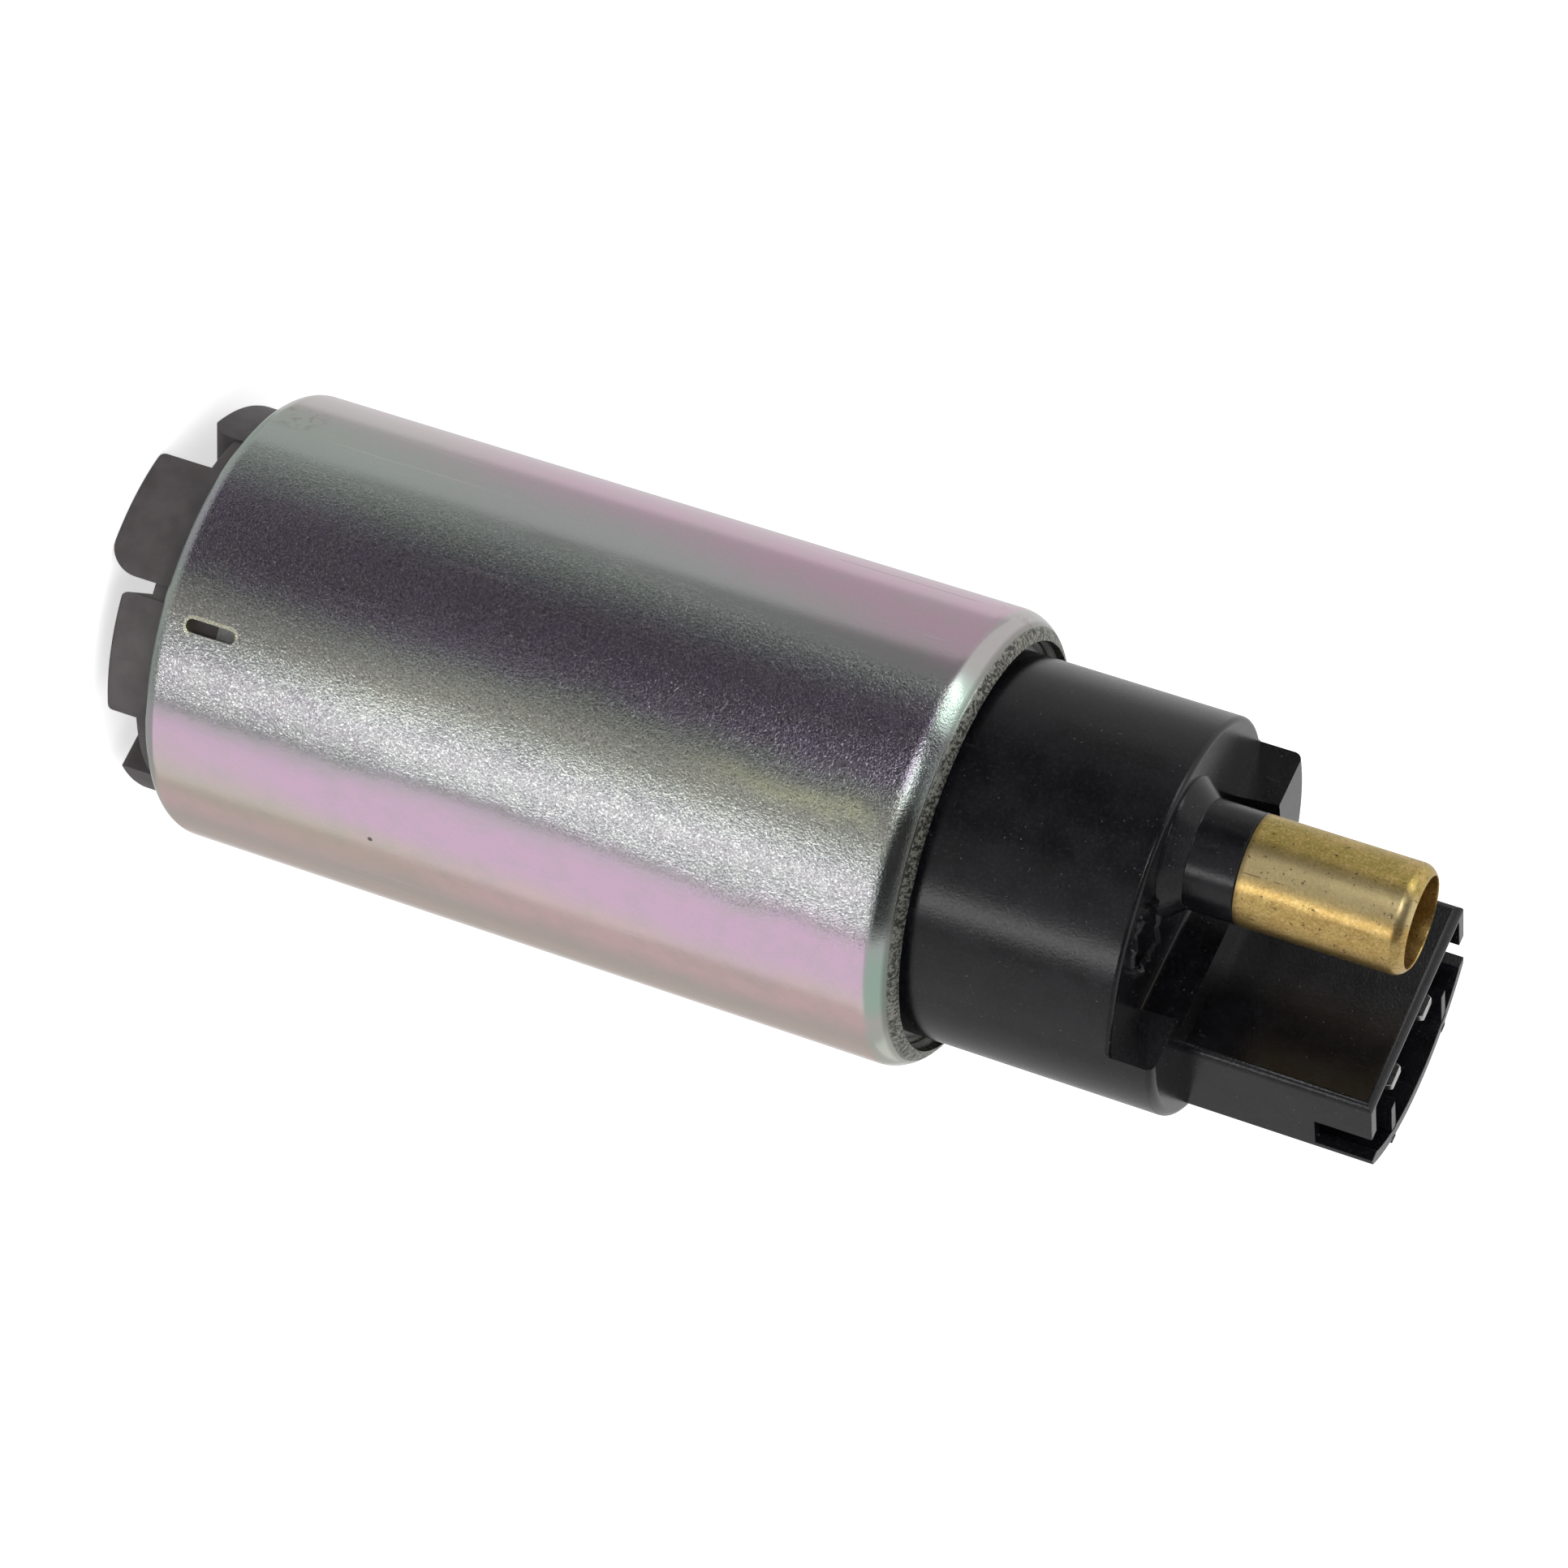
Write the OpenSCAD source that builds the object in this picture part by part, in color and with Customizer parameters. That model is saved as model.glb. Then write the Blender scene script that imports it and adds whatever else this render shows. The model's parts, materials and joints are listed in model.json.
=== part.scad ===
// In-tank fuel pump: a rolled steel cartridge with a turbine stage at the
// foot, a two pole motor in the middle and a moulded end head on top.
// The pump stands on its feet, the axis is +Z and the outlet points up.
// The outlet lies towards +Y and the electrical socket towards -Y.

/* [Casing] */
// Outside diameter of the casing
casing_od = 38; // [37.6:0.1:40]
// Wall of the casing tube
casing_wall = 1.4; // [1.2:0.1:1.5]
// Outer radius of the roll at the outlet end
outlet_roll_r = 3; // [2.7:0.1:3.2]
// Outer radius of the roll at the inlet end
inlet_roll_r = 1.5; // [1.3:0.1:2]
// How far the inlet roll turns in over the cover
inlet_roll_in = 2.3; // [1.9:0.1:2.3]
// Gap between the outlet roll and the head
roll_gap = 1; // [0.6:0.1:1.2]
// Length of the keying slot
key_len = 4.5; // [3:0.1:6]
// Width of the keying slot
key_w = 1.3; // [1:0.1:2]
// Direction of the keying slot round the axis
key_az = 128; // [90:1:150]

/* [Inlet cover] */
// Height of the long feet below the cover
foot_long = 4.5; // [4:0.1:6]
// Height of the short feet below the cover
foot_short = 2.5; // [1.2:0.1:3.5]
// Step in from the casing to the feet
feet_inset = 2.4; // [2.4:0.1:3]
// Radial thickness of a foot
foot_wall = 4.1; // [3:0.1:4.4]
// Rounding of the outer edge of a foot
foot_round = 0.4; // [0.2:0.1:1]
// Corner taken off the end of the first two feet
foot_corner = 1.8; // [0.6:0.1:2]
// Step in from the casing to the cover below it
boss_inset = 2.6; // [2.5:0.1:3.4]
// Height of that part up to the shoulder
boss_h = 3.3; // [3:0.1:5]
// Height of the cover flange inside the casing
flange_h = 3.7; // [3.2:0.1:5]
// Bore of the inlet tube
inlet_d = 6.4; // [5:0.1:6.6]
// Wall of the inlet tube
inlet_wall = 1.4; // [1:0.1:1.5]
// Height of the inlet tube below the cover
inlet_tube_h = 2.2; // [1:0.1:2.6]
// Distance of the inlet tube from the axis
inlet_off = 8; // [7.4:0.1:8.1]
// Direction of the inlet tube round the axis
inlet_az = 285; // [270:1:300]

/* [Pump stage] */
// Room between the impeller and the inside of the casing
impeller_inset = 2.6; // [2.4:0.1:3.2]
// Thickness of the impeller
impeller_t = 3.5; // [3:0.1:4.5]
// Number of vanes
vane_count = 36; // [24:1:44]
// Thickness of a vane
vane_t = 0.7; // [0.5:0.05:0.9]
// Radial length of a vane
vane_len = 2; // [1.6:0.1:2.3]
// Width of the outer ring of the impeller
ring_w = 0.6; // [0.5:0.1:0.8]
// Radius of the flow channel section
channel_r = 1.1; // [0.8:0.1:1.2]
// Part of the circle that the channel covers
channel_arc = 300; // [270:5:315]
// Clearance beside the impeller faces
side_clear = 0.15; // [0.1:0.05:0.3]
// Clearance round the impeller
rim_clear = 0.3; // [0.2:0.05:0.4]
// Thickness of the plate above the impeller
plate_h = 5.2; // [4.6:0.1:7]
// Height of the rim that carries the magnets
rim_h = 4.5; // [4:0.1:6]

/* [Motor] */
// Diameter of the shaft
shaft_d = 4; // [3.8:0.1:4.2]
// Depth of the drive flat
flat_depth = 0.5; // [0.3:0.05:0.8]
// Outside diameter of the lower bearing
lower_bearing_d = 9; // [8:0.1:10]
// Length of the lower bearing
lower_bearing_len = 8; // [7:0.1:8.6]
// Outside diameter of the upper bearing
upper_bearing_d = 7; // [6.6:0.1:7.4]
// Length of the upper bearing
upper_bearing_len = 6.6; // [5.5:0.1:6.8]
// Thickness of a magnet
magnet_t = 5.75; // [5.4:0.05:6.2]
// Length of the armature core
core_len = 24; // [20:0.5:28]
// Width of a tooth of the core
tooth_w = 2.6; // [2:0.1:3]
// Air gap between core and magnets
air_gap = 0.6; // [0.4:0.1:0.8]
// Angle that one magnet covers
magnet_arc = 140; // [130:1:144]
// Thickness of the clip sheet
clip_t = 0.6; // [0.4:0.1:0.8]
// Height of the end turns
turn_h = 3.2; // [2.6:0.1:3.6]
// Thickness of an end insulator
insulator_t = 1.2; // [0.8:0.1:1.6]
// Thickness of the commutator hub
hub_t = 3; // [2.5:0.1:4]
// Thickness of a commutator bar
bar_t = 2.4; // [1.8:0.1:3]
// Step in from the core to the commutator
commutator_inset = 1.9; // [1.6:0.1:2.1]
// Gap between two bars, as an angle
bar_gap = 4; // [3:0.5:6]

/* [Brushes] */
// Radial width of a brush
brush_w = 4; // [3.5:0.1:4.2]
// Width of a brush round the axis
brush_d = 5; // [4:0.1:5.2]
// Length of a new brush
brush_len = 9; // [7:0.1:10]
// Distance from the rim of the commutator to the middle of a brush
brush_inset = 2.6; // [2.5:0.1:2.7]
// Travel of a brush against its spring
brush_travel = 3; // [2:0.1:4]
// Room for the brush spring
brush_spring_len = 10.4; // [9:0.1:11]

/* [End head] */
// Step in from the casing to the head
head_inset = 3.1; // [2.9:0.1:3.4]
// Height of the head from the casing to the ledge
head_len = 17; // [16.4:0.1:20]
// Rounding of the edge of the ledge
ledge_round = 0.7; // [0.3:0.1:1]
// Height of the raised step above the ledge
step_h = 3.6; // [3:0.1:5]
// Rounding of the outer edge of the step
step_round = 1; // [0.5:0.1:1.4]
// Place of the step wall between the blocks
step_y = 0.15; // [-0.6:0.05:1]
// Place of the faces of the two blocks
block_y = 2; // [1.4:0.1:2.6]
// Distance from the axis to the inner side of a block
block_x = 10.6; // [10.3:0.1:12]

/* [Socket] */
// Width of the socket
socket_w = 20.2; // [19.4:0.1:21]
// Height of the socket above the ledge
socket_h = 19.2; // [17:0.1:21]
// Place of the flat face of the socket
socket_y = -3.15; // [-3.6:0.05:-3]
// Step in from the head to the curved back of the socket
socket_inset = 0.55; // [0.3:0.05:0.7]
// Wall of the socket
socket_wall = 1; // [0.8:0.1:1.1]
// Depth of the socket
socket_depth = 14.5; // [12:0.1:15]
// Height of the side notches
notch_h = 4.8; // [3:0.1:6]
// Width of the side notches
notch_w = 3.2; // [2.4:0.1:3.3]
// Distance of the side notches behind the flat face
notch_in = 4.55; // [4:0.05:4.9]
// Distance of a rib in the socket from the middle
rib_x = 5.5; // [5.2:0.1:6.5]
// Thickness of a rib
rib_t = 0.8; // [0.6:0.1:1]
// Distance of the ribs behind the middle of the blades
rib_behind = 0.6; // [0.6:0.1:1]
// Width of a blade
blade_w = 2.3; // [2:0.1:2.5]
// Thickness of a blade
blade_t = 0.8; // [0.6:0.05:1]
// Distance of a blade from the middle
blade_x = 3.4; // [3.3:0.1:3.6]
// Distance of the blades behind the flat face
blade_back = 5.85; // [5.6:0.05:6.1]
// How far a blade ends below the socket rim
blade_below = 0.5; // [0.2:0.1:2]

/* [Outlet] */
// Distance from the side of the head to the middle of the outlet
outlet_inset = 6.8; // [6.6:0.1:7.1]
// Outside diameter of the outlet
outlet_d = 8.98; // [8.6:0.02:9.2]
// Height of the outlet above the ledge
outlet_h = 19.75; // [18:0.05:22]
// Length of the brass sleeve
sleeve_len = 13.95; // [12:0.05:14.4]
// Wall of the brass sleeve
sleeve_wall = 0.79; // [0.6:0.01:0.9]
// Rounding of the end of the sleeve
sleeve_round = 1.35; // [1:0.05:1.6]
// How far the moulded neck stays below the sleeve end
neck_below = 5; // [3:0.1:8]
// Diameter of the collar at the foot of the outlet
collar_d = 11.8; // [11:0.1:12.2]
// Height of the collar
collar_h = 1.3; // [0.8:0.1:2]
// Bore of the moulded neck
neck_bore = 5.4; // [4.6:0.1:5.6]

/* [Valves] */
// Bore for the check valve
check_bore = 6.6; // [6.2:0.1:6.8]
// Hole in the check valve seat
check_hole = 3.8; // [3:0.1:4]
// Lift of the check valve
check_lift = 2.5; // [1.5:0.1:3]
// Diameter of the check valve stem
stem_d = 2; // [1.6:0.1:2.2]
// Diameter of the relief ball
ball_d = 3.8; // [3.4:0.1:4]
// Hole under the relief ball
relief_hole = 2.8; // [2.2:0.1:3]
// Bore of the relief valve
relief_bore = 4.8; // [4.6:0.1:5]
// Lift of the relief ball
relief_lift = 1.2; // [0.8:0.1:1.4]
// Distance from the side of the head to the middle of the relief valve
relief_inset = 4.52; // [4.4:0.02:4.7]
// Direction of the relief valve round the axis
relief_az = 135.4; // [134.6:0.2:136.6]

/* [Clearances] */
// Radial clearance of parts slipped into the casing
slip = 0.05; // [0.03:0.01:0.08]
// Radial clearance of the shaft in its bearings
run = 0.03; // [0.02:0.01:0.06]
// Clearance of a sliding piece in its guide
slide = 0.1; // [0.06:0.02:0.14]
// Smallest gap kept between a still face and a turning one
touch = 0.05; // [0.04:0.01:0.1]

/* [Hidden] */
$fn = 64;
eps = 0.01;
past = 1;
arc_steps = 6;

// Radii
case_r = casing_od / 2;
case_in = case_r - casing_wall;
magnet_r = case_in - slip - magnet_t;
core_r = magnet_r - air_gap;
commutator_r = core_r - commutator_inset;
brush_off = commutator_r - brush_inset;
head_r = case_r - head_inset;
socket_r = head_r - socket_inset;
outlet_off = head_r - outlet_inset;
relief_x = (head_r - relief_inset) * cos(relief_az);
relief_y = (head_r - relief_inset) * sin(relief_az);
shaft_r = shaft_d / 2;
impeller_r = case_in - impeller_inset;
vane_out = impeller_r - ring_w;
vane_in = vane_out - vane_len;
channel_mid = vane_in + channel_r;
channel_lift = 0.1;
lip_r = head_r + roll_gap;

// Heights, from the feet upwards
cover_z = foot_long;
shoulder_z = cover_z + boss_h;
case_bottom = shoulder_z - casing_wall;
cover_top = shoulder_z + flange_h;
impeller_z = cover_top + side_clear;
recess_top = impeller_z + impeller_t + side_clear;
body_top = recess_top + plate_h;
magnet_z = body_top + rim_h;
bearing_boss_h = 5;
bearing_boss_wall = 2;
rim_wall = 2.6;
shaft_room = 0.5;
bearing_top = body_top + bearing_boss_h;
turn_gap = 0.6;
core_z = bearing_top + turn_gap + turn_h + insulator_t;
core_top = core_z + core_len;
hub_gap = 0.1;
upper_turn_less = 0.5;
upper_turn_h = turn_h - upper_turn_less;
hub_z = core_top + insulator_t + upper_turn_h + hub_gap;
bar_z = hub_z + hub_t;
bar_top = bar_z + bar_t;
skirt_drop = 4;
skirt_z = bar_top - skirt_drop;
magnet_len = skirt_z - magnet_z;
guide_gap = 0.8;
guide_z = bar_top + guide_gap;
roof_gap = 3;
roof_z = bar_top + roof_gap;
roll_above = 5.9;
seal_above = 1;
seal_z = roof_z + seal_above;
case_top = roof_z + roll_above;
roll_z = case_top - outlet_roll_r;
roll_mid = case_r - outlet_roll_r;
ledge_z = case_top + head_len;
step_z = ledge_z + step_h;
socket_z = ledge_z + socket_h;
socket_floor = socket_z - socket_depth;
outlet_z = ledge_z + outlet_h;

// Thrust pad and shaft
pad_h = 0.7;
pad_wall = 0.6;
pad_r = shaft_r + pad_wall;
pad_above = 0.4;
pad_z = shoulder_z + pad_above;
shaft_bottom = pad_z + pad_h + touch;
upper_bearing_in = 0.2;
upper_bearing_z = guide_z + upper_bearing_in;
shaft_short = 0.5;
shaft_top = upper_bearing_z + upper_bearing_len - shaft_short;

// Feet: start and end direction, height and end corner of each
FEET = [[8, 69, foot_short, foot_corner], [83, 121, foot_long, foot_corner],
        [125.5, 162, foot_short, 0], [187, 226, foot_short, 0],
        [234, 264, foot_long, 0], [306, 348, foot_long, 0]];

// Seal section
seal_r = 0.75;
groove_h = 1.6;

// Armature slots
slot_count = 8;
slot_open = 1.6;
core_hub = 3.4;
slot_root = shaft_r + core_hub;
tooth_tip = 1.6;
slot_tip = core_r - tooth_tip;
slot_crown = 0.4;
fill_clear = 0.15;
insulator_in = 0.3;

// Brush tunnels and their springs
brush_z = bar_top + touch;
brush_top = brush_z + brush_len;
brush_ceiling = brush_top + brush_spring_len;
brush_spring_r = 1.5;
brush_wire = 0.45;
boss_wall = 1;

// Chokes
choke_inset = 4.02;
choke_az = -43.6;
choke_x = (head_r - choke_inset) * cos(choke_az);
choke_y = (head_r - choke_inset) * sin(choke_az);
choke_bore_r = 2.5;
choke_core_r = 1;
choke_coil_r = 1.6;
choke_wire = 0.5;
choke_coil_in = 0.5;
choke_above = 3.1;
choke_z = roof_z + choke_above;
choke_below = 2.5;
choke_top = ledge_z - choke_below;
foot_strap_h = 0.8;
foot_strap_below = 1.2;
foot_strap_z = choke_top - foot_strap_below;
foot_strap_gap = 0.1;
foot_strap_end = choke_x - choke_coil_r - choke_wire / 2 - foot_strap_gap;
blade_y = socket_y - blade_back;
blade_top = socket_z - blade_below;
tip_cut = 0.5;

// Pigtails
pigtail_d = 0.9;
pigtail_rise = 1.4;
pigtail_z = choke_z + choke_coil_in + choke_wire / 2;
pigtail_out = 0.7;
pigtail_x = brush_off + pigtail_out;
pigtail_gap = 0.02;
pigtail_slot = 2.2;

// Check valve
check_seat_above = 8.6;
check_seat_z = roof_z + check_seat_above;
check_seat_h = 3;
seal_disc_z = check_seat_z + check_seat_h + touch;
seal_disc_h = 1;
poppet_z = seal_disc_z + seal_disc_h;
poppet_h = 1.2;
guide_h = 2;
check_spring_len = 7.6;
check_guide_z = poppet_z + poppet_h + check_spring_len;
check_stop_z = check_guide_z + guide_h;
stem_above = 1;
poppet_play = 0.4;
seal_disc_in = 0.1;
spoke_w = 1;
check_spring_r = 1.85;
check_wire = 0.45;

// Relief valve
relief_seat_above = 13.5;
relief_seat_z = roof_z + relief_seat_above;
ball_r = ball_d / 2;
ball_z = relief_seat_z + sqrt(ball_r * ball_r - relief_hole * relief_hole / 4) + touch;
retainer_h = 2;
retainer_hole = 2.2;
relief_recess = 1;
retainer_z = ledge_z - relief_recess - retainer_h;
relief_spring_r = 1.2;
relief_wire = 0.35;
wire_contact = ball_r + relief_wire / 2;
relief_rest = sqrt(pow(wire_contact, 2) - pow(relief_spring_r, 2)) - relief_wire / 2;
relief_spring_z = ball_z + relief_rest + touch;
stake_r = 3.2;
stake_w = 0.6;
stake_h = 0.4;

// A point list along an arc in the profile plane
function arc(cx, cy, r, a0, a1, n = arc_steps) =
    [for (i = [0:n]) let(a = a0 + (a1 - a0) * i / n) [cx + r * cos(a), cy + r * sin(a)]];

// Height along a coil with closed end turns
function coil_z(u, turns, h, wire) =
    let(flat = wire * 1.1)
    u < 1 ? u * flat
    : u > turns - 1 ? h - (turns - u) * flat
    : flat + (u - 1) * (h - 2 * flat) / (turns - 2);

// One ring of points round a path point
function ring_at(c, n, b, r, sides) =
    [for (k = [0:sides - 1]) c + r * (cos(k * 360 / sides) * n + sin(k * 360 / sides) * b)];

function unit(v) = v / norm(v);

// Faces of a swept tube with flat ends
function sweep_faces(rings, sides) = concat(
    [[for (k = [0:sides - 1]) k]],
    [for (i = [0:rings - 2]) for (k = [0:sides - 1])
        let(low = i * sides, high = low + sides, next = (k + 1) % sides)
        [low + k, high + k, high + next, low + next]],
    [[for (k = [sides - 1:-1:0]) (rings - 1) * sides + k]]);

// A wire coil that stands on z = 0 and is length tall
module coil(length, mean_r, wire, turns, sides = 6, per_turn = 12) {
    count = turns * per_turn + 1;
    rise = length - wire;
    pts = [for (i = [0:count - 1])
        let(u = i / per_turn, a = u * 360,
            z = wire / 2 + coil_z(u, turns, rise, wire),
            slope = rise / turns / (2 * PI * mean_r),
            n = [cos(a), sin(a), 0],
            t = unit([-sin(a), cos(a), slope]))
        each ring_at([mean_r * cos(a), mean_r * sin(a), z], n, cross(t, n), wire / 2, sides)];
    polyhedron(points = pts, faces = sweep_faces(count, sides), convexity = 8);
}

module at(x, y, z = 0) {
    translate([x, y, z]) children();
}

module at_outlet(z = 0) {
    translate([0, outlet_off, z]) children();
}

module at_relief(z = 0) {
    translate([relief_x, relief_y, z]) children();
}

module ring(r_out, r_in, h) {
    difference() {
        cylinder(r = r_out, h = h);
        translate([0, 0, -past]) cylinder(r = r_in, h = h + 2 * past);
    }
}

// Sector of a ring between two directions
module sector(r_out, r_in, h, a0, a1) {
    rotate([0, 0, a0]) rotate_extrude(angle = a1 - a0)
        translate([r_in, 0]) square([r_out - r_in, h]);
}

// Casing: tube with both ends rolled in and the keying slot near the inlet
module casing() {
    lip_angle = acos((lip_r - roll_mid) / outlet_roll_r);
    inner_roll = outlet_roll_r - casing_wall;
    lip_angle_in = acos((lip_r - roll_mid) / inner_roll);
    inlet_lip = case_r - inlet_roll_in;
    color("#b9adb6") difference() {
        rotate_extrude($fn = 128) polygon(concat(
            [[inlet_lip, case_bottom]],
            arc(case_r - inlet_roll_r, case_bottom + inlet_roll_r, inlet_roll_r, -90, 0),
            arc(roll_mid, roll_z, outlet_roll_r, 0, lip_angle, 8),
            arc(roll_mid, roll_z, inner_roll, lip_angle_in, 0),
            [[case_in, shoulder_z], [inlet_lip, shoulder_z]]));
        key_slot();
    }
}

// The keying slot lies across the joint of cover and pump body
module key_slot() {
    reach = case_r + past;
    rotate([0, 0, key_az]) translate([0, 0, cover_top]) rotate([0, 90, 0]) {
        translate([0, 0, case_in - past / 2]) linear_extrude(reach - case_in + past / 2) {
            square([key_len - key_w, key_w], center = true);
            for (s = [-1, 1]) translate([s * (key_len - key_w) / 2, 0]) circle(d = key_w, $fn = 24);
        }
    }
}

// One foot: a short wall with its outer edge rounded and its end corner taken off
module foot(a0, a1, h, corner) {
    r = case_r - feet_inset;
    foot_z = cover_z - h;
    foot_top = shoulder_z + past;
    difference() {
        rotate([0, 0, a0]) rotate_extrude(angle = a1 - a0, $fn = 96) polygon(concat(
            [[r - foot_wall, foot_top], [r - foot_wall, foot_z]],
            arc(r - foot_round, foot_z + foot_round, foot_round, -90, 0, 4),
            [[r, foot_top]]));
        if (corner > 0) rotate([0, 0, a1]) translate([r - foot_wall - past, 0, foot_z])
            rotate([90, 0, 90]) linear_extrude(foot_wall + 2 * past)
                polygon([[-corner - past, -past], [past, -past], [past, corner + past]]);
    }
}

// Place above the inlet tube where the fuel enters the channel
module at_inlet(r, z) {
    rotate([0, 0, inlet_az]) translate([r, 0, z]) children();
}

module inlet_cover() {
    port_r = 2;
    port_depth = 2.6;
    port_z = shoulder_z - port_depth;
    port_in = 0.15;
    port_mid = channel_mid + channel_r - port_r - port_in;
    duct_h = 1.2;
    bore_top = port_z + duct_h;
    boss_wall_r = 1.8;
    boss_r = pad_r + boss_wall_r;
    boss_drop = 1;
    vent_r = 0.5;
    vent_az = 76;
    color("#57514f") difference() {
        union() {
            translate([0, 0, cover_z]) cylinder(r = case_r - boss_inset, h = boss_h + eps);
            translate([0, 0, shoulder_z]) cylinder(r = case_in - slip, h = flange_h);
            for (f = FEET) foot(f[0], f[1], f[2], f[3]);
            translate([0, 0, cover_z - boss_drop]) cylinder(r = boss_r, h = boss_drop + past);
            at_inlet(inlet_off, cover_z - inlet_tube_h)
                cylinder(r = inlet_d / 2 + inlet_wall, h = inlet_tube_h + past);
        }
        translate([0, 0, pad_z]) cylinder(r = pad_r, h = cover_top);
        at_inlet(inlet_off, cover_z - inlet_tube_h - past)
            cylinder(d = inlet_d, h = bore_top - cover_z + inlet_tube_h + past);
        at_inlet(port_mid, port_z) cylinder(r = port_r, h = cover_top);
        at_inlet(inlet_off, port_z) translate([0, -port_r, 0])
            cube([port_mid - inlet_off, 2 * port_r, bore_top - port_z]);
        rotate([0, 0, vent_az]) translate([channel_mid - vent_r, 0, 0])
            cylinder(r = vent_r, h = cover_top + past);
        flow_channel(cover_top + channel_lift);
    }
}

// Flow channel: most of a circle, starting over the inlet port
module flow_channel(z) {
    rotate([0, 0, inlet_az]) rotate_extrude(angle = channel_arc, $fn = 96)
        translate([channel_mid, z]) circle(r = channel_r, $fn = 24);
}

module thrust_pad() {
    color("#d8d4cc") translate([0, 0, pad_z]) cylinder(r = pad_r, h = pad_h);
}

// Pump body: plate over the impeller with the discharge port and bearing boss
module pump_body() {
    port_back = 8;
    port_az = inlet_az + channel_arc - port_back;
    discharge_r = 0.8;
    boss_r = lower_bearing_d / 2 + bearing_boss_wall;
    wall_r = case_in - slip;
    color("#8d8f92") difference() {
        union() {
            translate([0, 0, cover_top]) cylinder(r = wall_r, h = body_top - cover_top);
            translate([0, 0, body_top - eps]) ring(wall_r, wall_r - rim_wall, rim_h + eps);
            translate([0, 0, body_top - eps]) cylinder(r = boss_r, h = bearing_boss_h + eps);
        }
        translate([0, 0, cover_top - past])
            cylinder(r = impeller_r + rim_clear, h = recess_top - cover_top + past);
        translate([0, 0, recess_top - past]) cylinder(r = shaft_r + shaft_room, h = body_top);
        translate([0, 0, bearing_top - lower_bearing_len])
            cylinder(d = lower_bearing_d, h = lower_bearing_len + past);
        rotate([0, 0, port_az]) translate([channel_mid, 0, recess_top - past])
            cylinder(r = discharge_r, h = plate_h + 2 * past);
        flow_channel(recess_top - channel_lift);
    }
}

module lower_bearing() {
    color("#a8834d") translate([0, 0, bearing_top - lower_bearing_len])
        ring(lower_bearing_d / 2, shaft_r + run, lower_bearing_len);
}

module upper_bearing() {
    color("#a8834d") translate([0, 0, upper_bearing_z])
        ring(upper_bearing_d / 2, shaft_r + run, upper_bearing_len);
}

// Shaft with the drive flat where the impeller sits
module shaft() {
    color("#c9ccd0") difference() {
        translate([0, 0, shaft_bottom]) cylinder(r = shaft_r, h = shaft_top - shaft_bottom);
        translate([shaft_r - flat_depth, -shaft_d, shaft_bottom - past])
            cube([shaft_d, 2 * shaft_d, recess_top - shaft_bottom + past]);
    }
}

// Impeller: turbine disc with a ring of vanes inside an outer ring
module impeller() {
    hub_clear = 0.02;
    hole_r = 1.1;
    hole_in = 5.65;
    hole_off = vane_in - hole_in;
    through = impeller_t + 2 * past;
    flat_x = shaft_r - flat_depth + hub_clear;
    step = 360 / vane_count;
    gap_in = vane_in * 2 * sin(step / 2) - vane_t;
    gap_out = vane_out * 2 * sin(step / 2) - vane_t;
    color("#6d5a3c") translate([0, 0, impeller_z]) difference() {
        cylinder(r = impeller_r, h = impeller_t, $fn = 96);
        intersection() {
            translate([0, 0, -past]) cylinder(r = shaft_r + hub_clear, h = through);
            translate([-2 * shaft_d, -shaft_d, -past]) cube([2 * shaft_d + flat_x, 2 * shaft_d, through]);
        }
        for (i = [0:vane_count - 1]) rotate([0, 0, i * step]) translate([0, 0, -past])
            linear_extrude(through)
                polygon([[vane_in, -gap_in / 2], [vane_out, -gap_out / 2],
                    [vane_out, gap_out / 2], [vane_in, gap_in / 2]]);
        for (i = [0:3]) rotate([0, 0, 45 + i * 90]) translate([hole_off, 0, -past])
            cylinder(r = hole_r, h = through, $fn = 24);
    }
}

// One armature slot pocket, made smaller by inset
module pocket(inset) {
    half = 180 / slot_count;
    side = tooth_w / 2 + inset;
    root = slot_root + inset;
    tip = slot_tip - inset;
    p0 = [root * cos(half) + side * sin(half), root * sin(half) - side * cos(half)];
    p1 = [tip * cos(half) + side * sin(half), tip * sin(half) - side * cos(half)];
    polygon([[p0[0], -p0[1]], [p1[0], -p1[1]], [p1[0] + slot_crown, 0], p1, p0]);
}

module slotted(r, inset, h) {
    difference() {
        cylinder(r = r, h = h, $fn = 96);
        translate([0, 0, -past]) cylinder(r = shaft_r, h = h + 2 * past);
        for (i = [0:slot_count - 1]) rotate([0, 0, i * 360 / slot_count]) translate([0, 0, -past])
            linear_extrude(h + 2 * past) {
                pocket(inset);
                translate([slot_tip - past, -slot_open / 2]) square([2 * core_r, slot_open]);
            }
    }
}

module armature_core() {
    color("#73777c") translate([0, 0, core_z]) slotted(core_r, 0, core_len);
}

module insulator(z) {
    color("#c7b98c") translate([0, 0, z]) slotted(core_r - insulator_in, 0, insulator_t);
}

// One ring of end turns with its outer corners taken off
module end_turns(r_in, r_out, h, bend) {
    rotate_extrude() polygon([
        [r_in, 0], [r_out, 0], [r_out, h - bend],
        [r_out - bend, h], [r_in + bend, h], [r_in, h - bend]]);
}

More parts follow.
